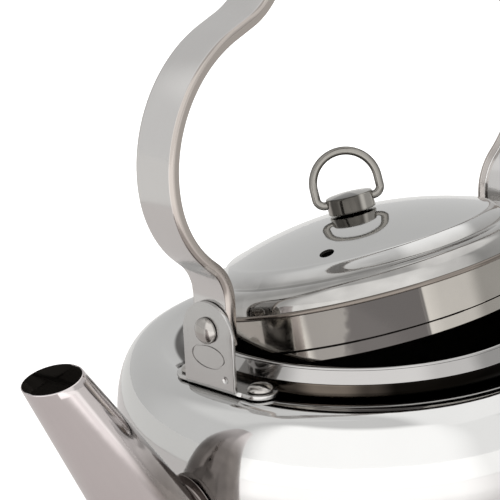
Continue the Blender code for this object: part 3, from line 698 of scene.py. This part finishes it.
def ear_plate(name, node, marked):
    half, ease = EAR_SHEET / 2, 0.00015
    blank = ear_outline()
    rise = bend_length() - EAR_FOOT_HEIGHT - EAR_BEND_RADIUS - EAR_SHEET
    shape = bmesh.new()
    rolls = [(half, ease), (half - ease * 0.3, ease * 0.3), (half - ease, 0)]
    rolls += [(-out, inset) for out, inset in rolls[::-1]]
    edge = sheet_loops(shape, [(out, shrunk(blank, inset)) for out, inset in rolls])
    front, back = list(edge[0]), list(edge[-1])
    holes = [circle((0, PIVOT_HEIGHT + rise), PIVOT_HOLE, 32)]
    holes += [circle((side * RIVET_SPREAD, TAB_ALONG), RIVET_HOLE, 32) for side in (-1, 1)]
    for hole in holes:
        lining = sheet_loops(shape, [(half, hole), (-half, hole)])
        front += lining[0]
        back += lining[-1]
    if marked:
        line = []
        for depth, inset in OVAL_GROOVE:
            wide, high = (size - inset for size in OVAL_SIZE)
            line.append((half - depth, circle((0, OVAL_HEIGHT + rise), wide, 64, high / wide)))
        groove = sheet_loops(shape, line)
        front += groove[0]
        filled(shape, groove[-1])
        mark = (MARK_PLACE[0], MARK_PLACE[1] + rise)
        dent = [(half - depth, circle(mark, radius, 20)) for depth, radius in MARK_DENT]
        dent = sheet_loops(shape, dent)
        front += dent[0]
        filled(shape, dent[-1])
    filled(shape, front)
    filled(shape, back)
    for fold in range(EAR_FOLDS + 1):
        bmesh.ops.bisect_plane(
            shape, geom=everything(shape), dist=1e-7,
            plane_co=(0, 0, bend_length() * fold / EAR_FOLDS), plane_no=(0, 0, 1),
        )
    for corner in shape.verts:
        corner.co = folded(corner.co)
    outwards(shape)
    if marked:
        bmesh.ops.rotate(shape, verts=shape.verts, matrix=Matrix.Rotation(math.pi, 3, "Z"))
    return piece(name, shape, "kettle", [node], ear_steel)


ear_steel = brushed("satin_ear_steel", (0.53, 0.52, 0.51), 0.14, 2)
ear_plate("ear_plate_front", "ear_front", True)
ear_plate("ear_plate_rear", "ear_rear", False)


# Ear rivets
# Four solid rivets go down through the tabs and the crest. Their domed heads stand on the tabs
# and their tails are closed inside the body, under the crest.
SEAT_GAP = 0.0003
HEAD_FOOT = EAR_FOOT_HEIGHT + EAR_SHEET + SEAT_GAP
TAIL_TOP = 0.0887


def headed(head_radius, head_height, shank, grip, tail_radius, tail_height):
    """A rivet spun along Z: the head stands above 0 and the tail lies below the grip."""
    brow = 0.0002
    edge, end = tail_radius - brow, -grip - tail_height
    outline = []
    for step in range(13):
        angle = math.radians(90 * step / 12)
        height = brow + (head_height - brow) * math.cos(angle)
        outline.append((head_radius * math.sin(angle), height))
    outline += [(head_radius - brow / 2, 0), (shank, 0), (shank, -grip), (edge, -grip)]
    outline += [(tail_radius, -grip - brow), (tail_radius, end + brow), (edge, end), (0, end)]
    return turned(outline, steps=48)


def shifted(shape, way):
    bmesh.ops.translate(shape, verts=shape.verts, vec=way)


def bright(name, colour, roughness, edge=(1, 1, 1, 1)):
    """Cold-formed steel: smooth, lightly peened, with tiny nicks. Edge tints a grazing look."""
    finish = steel(name)
    where = finish.place()
    peened = finish.noise(where, 900.0, 2.0, 0.5)
    nicks = finish.node("TexVoronoi", {}, {"Vector": where, "Scale": 700.0}, "Distance")
    finish.set(
        Base_Color=shades(finish, peened, colour, 1, 0.88),
        Roughness=roughness + peened * 0.1,
        Specular_Tint=edge,
    )
    finish.bumped(peened + nicks * 0.3, 0.00002)
    return finish.owner


rivet_steel = bright("bright_rivet_steel", (0.42, 0.4, 0.38), 0.09)
rivets = {
    "front_left": (-RIVET_PLACE, RIVET_SPREAD), "front_right": (-RIVET_PLACE, -RIVET_SPREAD),
    "rear_left": (RIVET_PLACE, -RIVET_SPREAD), "rear_right": (RIVET_PLACE, RIVET_SPREAD),
}
for place, (x, y) in rivets.items():
    shape = headed(
        head_radius=0.0037, head_height=0.0019, shank=0.0018, grip=HEAD_FOOT - TAIL_TOP,
        tail_radius=0.003, tail_height=0.0012,
    )
    outwards(shape)
    shifted(shape, (x, y, HEAD_FOOT))
    name, node = "domed_rivet_" + place, "ear_rivet_" + place
    piece(name, shape, "kettle", [node], rivet_steel)


# Bail
# The bail is one strip of satin steel pressed into a channel, open towards the kettle, and bent
# to a lobed arch. Its legs end round and swing on the pivots inside the ears.
BAIL_FACE = 0.0631
BAIL_SHEET = 0.0009
BAIL_HALF_WIDTH = 0.0071
BAIL_DEPTH = 0.0032
LEG_END_RADIUS = 0.008
LEG_END_STEPS = 10
HEEL_START = 0.0085


def channel():
    """Half of the channel's section, from the middle of its back to the middle inside."""
    edge, easing, inside = 0.0013, 0.00025, 0.0004
    inner = BAIL_HALF_WIDTH - BAIL_SHEET
    half = [(0, 0)] + arc((BAIL_HALF_WIDTH - edge, edge), edge, -90, 0, 8)
    half += arc((BAIL_HALF_WIDTH - easing, BAIL_DEPTH - easing), easing, 0, 90, 3)
    half += arc((inner + easing, BAIL_DEPTH - easing), easing, 90, 180, 3)
    half += arc((inner - inside, BAIL_SHEET + inside), inside, 0, -90, 4)
    return half + [(0, BAIL_SHEET)]


def carried(shape, ring, centre=(0, 0, 0), degrees=0.0, steps=1, way=(0, 0, 0)):
    """Carries a section on, round a bend about a line along Y or straight, and returns it."""
    return bmesh.ops.spin(
        shape, geom=ring, cent=centre, axis=(0, 1, 0), dvec=way,
        angle=-math.radians(degrees), steps=steps,
    )["geom_last"]


def capped(shape, ring):
    """Closes the end of a carried section."""
    edges = [item for item in ring if isinstance(item, bmesh.types.BMEdge)]
    bmesh.ops.contextual_create(shape, geom=edges)


def beside(x, z, radius, heading, side):
    """The middle of a bend that starts at (x, z), heading that way, on that side of it."""
    angle = math.radians(heading + 90 * side)
    return x + radius * math.cos(angle), z + radius * math.sin(angle)


def moved_on(x, z, centre, degrees):
    """Where (x, z) comes to when it turns about the centre."""
    cos, sin = math.cos(math.radians(degrees)), math.sin(math.radians(degrees))
    dx, dz = x - centre[0], z - centre[1]
    return centre[0] + dx * cos - dz * sin, centre[1] + dx * sin + dz * cos


half = channel()
section = half + [(-across, depth) for across, depth in half[-2:0:-1]]
low = PIVOT_HEIGHT - math.sqrt(LEG_END_RADIUS ** 2 - BAIL_HALF_WIDTH ** 2)
shape = bmesh.new()
corners, edges = looped(shape, [(-BAIL_FACE + depth, across, low) for across, depth in section])
widest = math.degrees(math.asin(BAIL_HALF_WIDTH / LEG_END_RADIUS))
ring = corners + edges
before = (BAIL_HALF_WIDTH, low)
for step in range(1, LEG_END_STEPS + 1):
    angle = math.radians(widest + (10 - widest) * step / LEG_END_STEPS)
    now = (LEG_END_RADIUS * math.sin(angle), PIVOT_HEIGHT - LEG_END_RADIUS * math.cos(angle))
    ring = carried(shape, ring, way=(0, 0, now[1] - before[1]))
    for item in ring:
        if isinstance(item, bmesh.types.BMVert) and abs(item.co.y) > 1e-6:
            item.co.y -= math.copysign(before[0] - now[0], item.co.y)
    before = now
capped(shape, ring)

# Half of the arch from the leg up: straight runs by length, bends by radius, degrees and steps.
route = [
    ("run", PIVOT_HEIGHT + HEEL_START - low), ("bend", 0.013, 50, 14), ("run", 0.0017),
    ("bend", 0.0342, -41.6, 18), ("bend", 0.0394, -78.2, 34), ("run", 0.0068),
    ("bend", 0.0192, 30, 12),
]
ring = corners + edges
x, z, heading = -BAIL_FACE, low, 90.0
for kind, *sizes in route:
    if kind == "run":
        angle = math.radians(heading)
        way = (sizes[0] * math.cos(angle), 0, sizes[0] * math.sin(angle))
        ring = carried(shape, ring, way=way)
        x, z = x + way[0], z + way[2]
    else:
        radius, degrees, steps = sizes
        centre = beside(x, z, radius, heading, math.copysign(1, degrees))
        ring = carried(shape, ring, (centre[0], 0, centre[1]), degrees, steps)
        x, z = moved_on(x, z, centre, degrees)
        heading += degrees
radius = -x / math.sin(math.radians(heading))
centre = beside(x, z, radius, heading, -1)
carried(shape, ring, (centre[0], 0, centre[1]), -heading, 24)
bmesh.ops.remove_doubles(shape, verts=shape.verts, dist=1e-7)
bmesh.ops.mirror(shape, geom=everything(shape), axis="X", merge_dist=1e-6)
bmesh.ops.remove_doubles(shape, verts=shape.verts, dist=1e-7)
outwards(shape)


def strip(name, colour, roughness):
    """Satin strip. Its polishing streaks run round the middle of the arch, as the bends do."""
    finish = steel(name)
    middle = finish.place(centre=(0, 0, 0.16))
    x, y, z = finish.node("SeparateXYZ", {}, {0: middle}, (0, 1, 2))
    angle = z.math("ARCTAN2", x)
    radius = (x * x + z * z) ** 0.5
    streaks = finish.node("CombineXYZ", {}, {0: radius * 300, 1: y * 3000, 2: angle * 8})
    fine = finish.noise(streaks, 1.0, 4.0, 0.7)
    haze = finish.noise(finish.place(), 50.0, 3.0, 0.55)
    side = y.math("ABSOLUTE")
    # Painted shade: the bent edges take a darker brown colour, which dims their highlight.
    bend = soft(finish, side, BAIL_HALF_WIDTH - 0.0012, BAIL_HALF_WIDTH - 0.0006)
    face = shades(finish, fine * 0.5 + haze * 0.5, colour, 1, 0.88)
    finish.set(
        Base_Color=finish.mixed(bend, face, (0.38, 0.345, 0.32, 1)),
        Roughness=roughness + fine * 0.06 + haze * 0.07,
    )
    finish.bumped(fine, 0.000012)
    return finish.owner


bail_steel = strip("satin_bail_steel", (0.66, 0.645, 0.635), 0.07)
piece("bail_strip", shape, "bail", ["bail"], bail_steel)


# Pivots
# Each leg of the bail hangs on a stout rivet through its ear, with a washer under the tail that
# lets it swing.
WASHER_FACE = BAIL_FACE - BAIL_SHEET - SEAT_GAP
PIVOT_HEAD = EAR_FACE + SEAT_GAP
PIVOT_GRIP = PIVOT_HEAD - WASHER_FACE + 0.0011


def ring_of_sheet(outer, inner):
    """A flat ring just below height 0."""
    outline = [(outer, 0), (outer, -SHEET), (inner, -SHEET), (inner, 0)]
    return turned(outline, closed=True, steps=48)


def laid(shape, distance, side):
    """Lays a piece that was drawn along Z on the pivots' line, this far out on that side."""
    outwards(shape)
    place = Matrix.Translation((side * distance, 0, PIVOT_HEIGHT))
    lie = place @ Matrix.Rotation(side * math.pi / 2, 4, "Y")
    bmesh.ops.transform(shape, matrix=lie, verts=shape.verts)


pivot_steel = bright("bright_pivot_steel", (0.42, 0.4, 0.38), 0.09)
pivot_line = ((0, 0, PIVOT_HEIGHT), (0, math.radians(90), 0))
washer_steel = ground("ground_washer_steel", (0.52, 0.51, 0.5), 0.2, *pivot_line)
for place, side in (("front", -1), ("rear", 1)):
    shape = headed(
        head_radius=0.00385, head_height=0.0023, shank=0.0021, grip=PIVOT_GRIP,
        tail_radius=0.0035, tail_height=0.0014,
    )
    laid(shape, PIVOT_HEAD, side)
    name, node = "domed_pivot_" + place, "pivot_rivet_" + place
    piece(name, shape, "kettle", [node], pivot_steel)
    shape = ring_of_sheet(outer=0.005, inner=0.0024)
    laid(shape, WASHER_FACE, side)
    name, node = "flat_washer_" + place, "pivot_washer_" + place
    eased(piece(name, shape, "kettle", [node], washer_steel), 0.0001)


# Lid shell
# The lid is pressed from one sheet: a low dome inside a raised ridge, a crease round it, and a
# steep outer ring that ends in a rolled bead. One round vent lets the steam out. It lies ajar,
# low on the side of +Y and raised on the side of -Y.
LID_SEAT = 0.00042
LID_TILT = math.radians(14.27)
TIP_SIDE = math.radians(99.94)
TIP_RADIUS = 0.0453
TIP_RISE = 0.00924
BEAD_TUBE = 0.00073
CREASE = (0.0439, 0.0073)
OUTER_FULLNESS = 0.65
RIDGE = (0.0386, 0.0111)
DOME_RISE = 0.0066
DOME_FULLNESS = 2.08
VENT_PLACE = 0.0337
VENT_SIDE = math.radians(208.8)
VENT_RADIUS = 0.00215
KNOB_SEAT = 0.018

tip_foot = Vector((TIP_RADIUS * math.cos(TIP_SIDE), TIP_RADIUS * math.sin(TIP_SIDE), 0))
tip_axis = Vector((math.cos(TIP_SIDE + math.pi / 2), math.sin(TIP_SIDE + math.pi / 2), 0))
tip_rise = Vector((0, 0, TIP_RISE))
LID_PLACE = (
    Matrix.Translation(tip_foot + tip_rise + Vector((0, 0, BODY_HEIGHT)))
    @ Quaternion(tip_axis, LID_TILT).to_matrix().to_4x4()
    @ Matrix.Translation(Vector((0, 0, LID_SEAT)) - tip_foot - tip_rise)
)
LID_MIDDLE = tuple(LID_PLACE.to_translation())
LID_TURN = tuple(LID_PLACE.to_euler())


def dome_height(radius):
    return RIDGE[1] + DOME_RISE * (1 - (radius / RIDGE[0]) ** DOME_FULLNESS)


def eased_in(share):
    return share * share * (3 - 2 * share)


def lid_piece(name, shape, nodes, material):
    """Finishes a piece that was drawn round the lid's own axis, in the place where the lid lies."""
    outwards(shape)
    bmesh.ops.transform(shape, matrix=LID_PLACE, verts=shape.verts)
    return piece(name, shape, "lid", nodes, material)


dome = []
for step in range(35):
    radius = RIDGE[0] * step / 34
    dome.append((radius, dome_height(radius)))
for step in range(1, 13):
    share = step / 12
    height = RIDGE[1] + (CREASE[1] - RIDGE[1]) * eased_in(share)
    dome.append((RIDGE[0] + (CREASE[0] - RIDGE[0]) * share, height))
for step in range(1, 29):
    angle = math.radians(90 * (1 - step / 30))
    out = (LIP_RADIUS - CREASE[0]) * math.cos(angle) ** OUTER_FULLNESS
    up = (CREASE[1] - BEAD_TUBE) * math.sin(angle) ** OUTER_FULLNESS
    dome.append((CREASE[0] + out, BEAD_TUBE + up))
dome.append((LIP_RADIUS, BEAD_TUBE * 1.7))
shape = turned(dome)
vent = (VENT_PLACE * math.cos(VENT_SIDE), VENT_PLACE * math.sin(VENT_SIDE), dome_height(VENT_PLACE))
pierce(shape, vent, (1, 0, 0), (0, 1, 0), VENT_RADIUS, 1.95)
for corner in shape.verts:
    radius = math.hypot(corner.co.x, corner.co.y)
    if radius < RIDGE[0]:
        corner.co.z = dome_height(radius)


# Painted darker reflection on the steep outer ring, past the ridge.
def past_ridge(finish, radius, angle, height):
    return soft(finish, radius, 0.0395, CREASE[0])


lid_steel = polished(
    "polished_lid_steel", (0.61, 0.607, 0.6), 0.035, LID_MIDDLE, LID_TURN,
    painted_shade_and_reflection=((past_ridge, (0.4, 0.391, 0.378)),),
)
lid_dome = lid_piece("lid_dome", shape, ["lid_shell"], lid_steel)
thickened(lid_dome, shaded_inner_steel)
shape = turned(arc((LIP_RADIUS, BEAD_TUBE), BEAD_TUBE, 90, 430, 17), closed=True)
bead_steel = polished("rolled_bead_steel", (0.2, 0.175, 0.155), 0.08, LID_MIDDLE, LID_TURN)
lid_piece("lid_bead", shape, ["lid_shell"], bead_steel)


# Lid skirt
# A rolled collar is welded under the lid's crease and drops inside the neck. Its lower edge is
# stepped in a little, and a straight weld seam runs down one side.
SKIRT_RADIUS = 0.0476
SKIRT_SHEET = 0.0007
SKIRT_SHELF = 0.0062
SHELF_WIDTH = 0.0042
SHELF_BEND = 0.002
SKIRT_STEP = ((0, -0.0104), (0.0005, -0.0109), (0.0005, -0.0143))
SEAM_SIDE = -119
SEAM_RISE = 0.00006
SEAM_REACH = 3


def past_seam(corner):
    """How far round the lid's axis a corner lies from the weld, in degrees."""
    return (math.degrees(math.atan2(corner.co.y, corner.co.x)) - SEAM_SIDE + 180) % 360 - 180


def beside_seam(corner):
    return abs(past_seam(corner)) < SEAM_REACH


skirt = [(SKIRT_RADIUS - SHELF_WIDTH, SKIRT_SHELF)]
skirt += arc((SKIRT_RADIUS - SHELF_BEND, SKIRT_SHELF - SHELF_BEND), SHELF_BEND, 90, 0, 8)
skirt += [(SKIRT_RADIUS - inset, height) for inset, height in SKIRT_STEP]
skirt += [(radius - SKIRT_SHEET, height) for radius, height in skirt[:0:-1]]
skirt[-1] = (skirt[-1][0], SKIRT_SHELF - SKIRT_SHEET)
skirt.append((SKIRT_RADIUS - SHELF_WIDTH, SKIRT_SHELF - SKIRT_SHEET))
shape = turned(skirt, closed=True)
levels = []
for edge in shape.edges:
    first, second = edge.verts
    if beside_seam(first) and beside_seam(second) and abs(past_seam(first) - past_seam(second)) > 1:
        levels.append(edge)
bmesh.ops.subdivide_edges(shape, edges=levels, cuts=5, use_grid_fill=True)
half_step = math.pi / LATHE_STEPS
for corner in filter(beside_seam, shape.verts):
    past = past_seam(corner)
    off_middle = math.radians(past + SEAM_SIDE) % (2 * half_step) - half_step
    corner.co.xy *= math.cos(off_middle) / math.cos(half_step)
    share = min(max((1 - abs(past)) / 0.65, 0), 1)
    if corner.co.xy.length > SKIRT_RADIUS - 0.0006:
        corner.co.xy *= 1 + SEAM_RISE / SKIRT_RADIUS * eased_in(share)
outwards(shape)
# The faces inside and under the collar take the near-black painted shade.
for face in shape.faces:
    middle, out = face.calc_center_median().xy, face.normal
    inner = middle.dot(out.xy) < -0.5 * middle.length
    face.material_index = int(inner or out.z < -0.5)


def welded(name, colour, tint, roughness, seam):
    """Rolled sheet with an upright weld at this angle, and a painted dark reflection beside it, in
    the tint colour.
    """
    finish = steel(name)
    _, angle, _ = rounds(finish, LID_MIDDLE, LID_TURN)
    past = angle * math.degrees(1) - seam
    cloud = finish.noise(finish.place(), 55.0, 4.0, 0.65)
    edge = past + (cloud - 0.5) * 24
    # Painted dark reflection: a faint zone and a cloudy dark patch on one side of the seam.
    faint = soft(finish, past, -43.0, -39.0) * 0.7
    dark_reflection_patch = faint.math("MAXIMUM", soft(finish, edge, -36.0, -24.0))
    dark_reflection_patch = dark_reflection_patch * soft(finish, past, 0.5, -0.5)
    bead = soft(finish, past.math("ABSOLUTE"), 1.0, 0.35)
    clean = shades(finish, cloud, colour, 1, 0.8)
    finish.set(
        Base_Color=finish.mixed(dark_reflection_patch.math("MAXIMUM", bead * 0.9), clean, (*tint, 1)),
        Roughness=roughness + cloud * 0.08 + bead * 0.2,
    )
    finish.bumped(cloud * 0.2, 0.00006)
    return finish.owner


# The collar is coloured darker than the lid: painted darker reflection.
skirt_steel = welded(
    "welded_skirt_steel", (0.43, 0.405, 0.37), (0.085, 0.078, 0.075), 0.06, SEAM_SIDE,
)
lid_collar = lid_piece("lid_collar", shape, ["lid_skirt"], skirt_steel)
lid_collar.data.materials.append(near_black_inside_steel)
eased(lid_collar, 0.00015)


# Knob
# A solid button turned on a lathe, with a blind hole in each side for the ring. A washer and a
# screw from below hold it to the dome.
KNOB_RADIUS = 0.007
KNOB_HEIGHT = 0.0054
KNOB_CROWN = 0.0005
KNOB_EDGE = 0.0006
RING_RISE = 0.003
RING_SIDE = math.radians(-43.9)
RING_HOLE_RADIUS = 0.00152
RING_HOLE_DEPTH = 0.0018
KNOB_WASHER_RADIUS = 0.006
SCREW_RADIUS = 0.0015
SCREW_DEPTH = 0.0038
SCREW_HEAD_RADIUS = 0.0034
SCREW_FLATNESS = 0.588
BRIM_START = 0.0028
BRIM_HEIGHT = 0.001


def open_rim(shape, way):
    """The open edges on this side."""
    return [edge for edge in shape.edges if edge.is_boundary and edge.verts[0].co.dot(way) > 0]


top = KNOB_RADIUS - KNOB_EDGE
button = []
for step in range(9):
    radius = top * step / 8
    button.append((radius, KNOB_HEIGHT - KNOB_CROWN * (radius / top) ** 2))
button += arc((top, KNOB_HEIGHT - KNOB_CROWN - KNOB_EDGE), KNOB_EDGE, 75, 0, 5)
straight = KNOB_HEIGHT - KNOB_CROWN - 2 * KNOB_EDGE
button += [(KNOB_RADIUS, KNOB_EDGE + straight * (1 - step / 7)) for step in range(1, 8)]
button += arc((KNOB_RADIUS - KNOB_EDGE / 2, KNOB_EDGE / 2), KNOB_EDGE / 2, 0, -90, 4)
button.append((0, 0))
shape = turned(button, steps=96)
for side in (-1, 1):
    way = Vector((side * math.cos(RING_SIDE), side * math.sin(RING_SIDE), 0))
    middle = way * KNOB_RADIUS + Vector((0, 0, RING_RISE))
    pierce(shape, middle, way.cross(Vector((0, 0, 1))), (0, 0, 1), RING_HOLE_RADIUS, 1.45)
    lining = bmesh.ops.extrude_edge_only(shape, edges=open_rim(shape, way))["geom"]
    bottom = [item for item in lining if isinstance(item, bmesh.types.BMVert)]
    bmesh.ops.translate(shape, verts=bottom, vec=way * -RING_HOLE_DEPTH)
    bmesh.ops.holes_fill(shape, edges=open_rim(shape, way))
shifted(shape, (0, 0, KNOB_SEAT))


def dark_side_of_knob(finish, radius, angle, height):
    """Painted darker reflection on one side of the knob."""
    return soft(finish, (angle + math.radians(150)).math("COSINE"), 0.7, 0.82)


# The knob is coloured darker than the lid, darker still on one side: painted darker reflection.
knob_steel = polished(
    "turned_knob_steel", (0.34, 0.325, 0.3), 0.07, LID_MIDDLE, LID_TURN,
    painted_shade_and_reflection=((dark_side_of_knob, (0.075, 0.07, 0.063)),),
)
lid_piece("turned_button", shape, ["lid_knob"], knob_steel)

washer_top = dome_height(KNOB_WASHER_RADIUS) - SHEET - SEAT_GAP
shape = ring_of_sheet(KNOB_WASHER_RADIUS, inner=0.0018)
shifted(shape, (0, 0, washer_top))
fixing_steel = ground("ground_screw_steel", (0.52, 0.51, 0.5), 0.2, LID_MIDDLE, LID_TURN)
eased(lid_piece("button_washer", shape, ["knob_washer"], fixing_steel), 0.0001)
head_top = washer_top - SHEET - SEAT_GAP
thread_top = KNOB_SEAT + SCREW_DEPTH - head_top
outline = [(0, thread_top), (0.0013, thread_top), (SCREW_RADIUS, thread_top - 0.0002)]
outline += [(SCREW_RADIUS, 0), (SCREW_HEAD_RADIUS, 0)]
outline += arc((0, 0), SCREW_HEAD_RADIUS, 0, -90, 10)[1:]
screw = []
for radius, height in outline:
    flat = height * SCREW_FLATNESS
    screw.append((radius, max(height, -BRIM_HEIGHT) if radius > BRIM_START else flat))
shape = turned(screw, steps=48)
shifted(shape, (0, 0, head_top))
lid_piece("button_screw", shape, ["knob_screw"], fixing_steel)


# Knob ring
# The ring is a D of bent wire. Its two straight ends are sprung into the holes of the knob.
WIRE_RADIUS = 0.00122
WIRE_BEND = 0.0024
WIRE_END = 0.0055
ARCH_RADIUS = 0.0095
ARCH_RISE = 0.0052

shape = bmesh.new()
drawn = bmesh.ops.create_circle(
    shape, segments=24, radius=WIRE_RADIUS,
    matrix=Matrix.Translation((WIRE_END, 0, 0)) @ Matrix.Rotation(math.pi / 2, 4, "Y"),
)["verts"]
ring = drawn + shape.edges[:]
capped(shape, ring)
out, up = ARCH_RADIUS - WIRE_BEND, ARCH_RISE - WIRE_BEND
ring = carried(shape, ring, way=(out - WIRE_END, 0, 0))
ring = carried(shape, ring, (out, 0, WIRE_BEND), 90, 12)
ring = carried(shape, ring, way=(0, 0, up))
ring = carried(shape, ring, (0, 0, ARCH_RISE), 180, 64)
ring = carried(shape, ring, way=(0, 0, -up))
ring = carried(shape, ring, (-out, 0, WIRE_BEND), 90, 12)
ring = carried(shape, ring, way=(out - WIRE_END, 0, 0))
capped(shape, ring)
outwards(shape)
hole_height = Matrix.Translation((0, 0, KNOB_SEAT + RING_RISE))
hang = LID_PLACE @ hole_height @ Matrix.Rotation(RING_SIDE, 4, "Z")
bmesh.ops.transform(shape, matrix=hang, verts=shape.verts)
wire_steel = bright("drawn_wire_steel", (0.26, 0.248, 0.228), 0.06, (0.03, 0.03, 0.03, 1))
piece("bent_wire", shape, "ring", ["knob_ring"], wire_steel, 50)


# Studio
# A pale round board on a pale paper floor, in a pale grey tent. A broad soft panel stands in
# front and fades out at its edges. In the metal, the paper in front of it glows up to white: a
# painted pool of light.
BOARD_RADIUS = 0.33
PANEL_SIDE = math.radians(-140)
SENSOR_WIDTH = 36
FOCAL_PIXELS = 2476.69
PICTURE_PIXELS = 500


def front_panel(finish, x, y):
    """How brightly the front panel lights this side, and the angle to its middle in degrees."""
    cos, sin = math.cos(PANEL_SIDE), math.sin(PANEL_SIDE)
    ahead, across = x * cos + y * sin, y * cos - x * sin
    angle = across.math("ARCTAN2", ahead) * math.degrees(1)
    middle = soft(finish, angle, -64.0, -42.0) * soft(finish, angle, 52.0, 34.0)
    right_end = soft(finish, angle, 34.0, 50.0) * soft(finish, angle, 86.0, 72.0)
    return middle + right_end * 0.6, angle


def seen_by(finish):
    """Whether the camera, a mirror or a clear piece looks at it: three shares of 0 or 1."""
    rays = ("Is Camera Ray", "Is Glossy Ray", "Is Transmission Ray")
    return finish.node("LightPath", {}, {}, rays)


shape = bmesh.new()
bmesh.ops.create_grid(shape, x_segments=1, y_segments=1, size=4)
shifted(shape, (0, 0, -0.0002))
paper = Finish(bpy.data.materials.new("studio_paper"))
grain = paper.noise(paper.place(), 40.0, 4.0, 0.6)
x, y = paper.node("SeparateXYZ", {}, {0: paper.place()}, (0, 1))
lit, _ = front_panel(paper, x, y)
distance = (x * x + y * y) ** 0.5
by_camera, by_mirror, through = seen_by(paper)
# Painted light: mirrors see the paper glow in front of the panel; the camera sees it evenly
# brighter.
glow = (by_mirror + through) * lit * soft(paper, distance, 0.19, 0.26) + by_camera * 0.6
sheet = paper.mixed(grain, (0.8, 0.795, 0.785, 1), (0.77, 0.765, 0.755, 1))
board = paper.mixed(grain, (0.7, 0.672, 0.665, 1), (0.66, 0.632, 0.625, 1))
past_board = soft(paper, distance, BOARD_RADIUS, BOARD_RADIUS + 0.004)
# Painted shadow: a thin dark line round the board's edge.
line = soft(paper, (distance - BOARD_RADIUS).math("ABSOLUTE"), 0.004, 0.002)
base = paper.mixed(past_board, board, sheet)
paper.set(
    Base_Color=paper.mixed(line * 0.6, base, (0.3, 0.28, 0.27, 1)),
    Roughness=0.9,
    Emission_Color=paper.mixed(glow, (0, 0, 0, 1), (1, 1, 1, 1)),
    Emission_Strength=1.0,
)
mesh = bpy.data.meshes.new("studio_floor")
shape.to_mesh(mesh)
shape.free()
mesh.materials.append(paper.owner)
floor = bpy.data.objects.new("studio_floor", mesh)
bpy.context.scene.collection.objects.link(floor)

tent = Finish(bpy.data.worlds.new("studio_tent"))
bpy.context.scene.world = tent.owner
way = tent.node("TexCoord", {}, {}, "Generated")
x, y, z = tent.node("SeparateXYZ", {}, {0: way}, (0, 1, 2))
lit, angle = front_panel(tent, x, y)
left_side = soft(tent, angle, -125.0, -95.0) * soft(tent, angle, -55.0, -70.0)
lit = lit * soft(tent, z, 0.94, 0.8) + left_side * (soft(tent, z, 0.45, 0.65) * 0.15 + 0.14)
above_right = soft(tent, x * 0.891 - y * 0.454, 0.0, 0.2) * soft(tent, z, 0.6, 0.74)
lit = lit.math("MAXIMUM", soft(tent, z, 0.74, 0.86) * 0.2).math("MAXIMUM", above_right * 0.7)
by_camera, by_mirror, through = seen_by(tent)
cloth = tent.mixed(lit, (0.7, 0.7, 0.695, 1), (1.65, 1.65, 1.64, 1))
white = (by_camera + through + by_mirror * 0.05).math("MINIMUM", 1.0)
sky = tent.tree.nodes["Background"]
tent.join(sky.inputs["Color"], tent.mixed(white, cloth, (1, 1, 1, 1)))
sky.inputs["Strength"].default_value = 1.0

camera = bpy.data.objects.new("camera", bpy.data.cameras.new("camera"))
bpy.context.scene.collection.objects.link(camera)
bpy.context.scene.camera = camera
camera.data.sensor_width = SENSOR_WIDTH
camera.data.lens = SENSOR_WIDTH * FOCAL_PIXELS / PICTURE_PIXELS
sight = Matrix(((0.7051, 0.2428, -0.6663), (-0.7076, 0.1795, -0.6834), (-0.0463, 0.9533, 0.2983)))
camera.matrix_world = Matrix.Translation((-0.5051, -0.4703, 0.3328)) @ sight.to_4x4()
bpy.context.scene.view_settings.view_transform = "Standard"
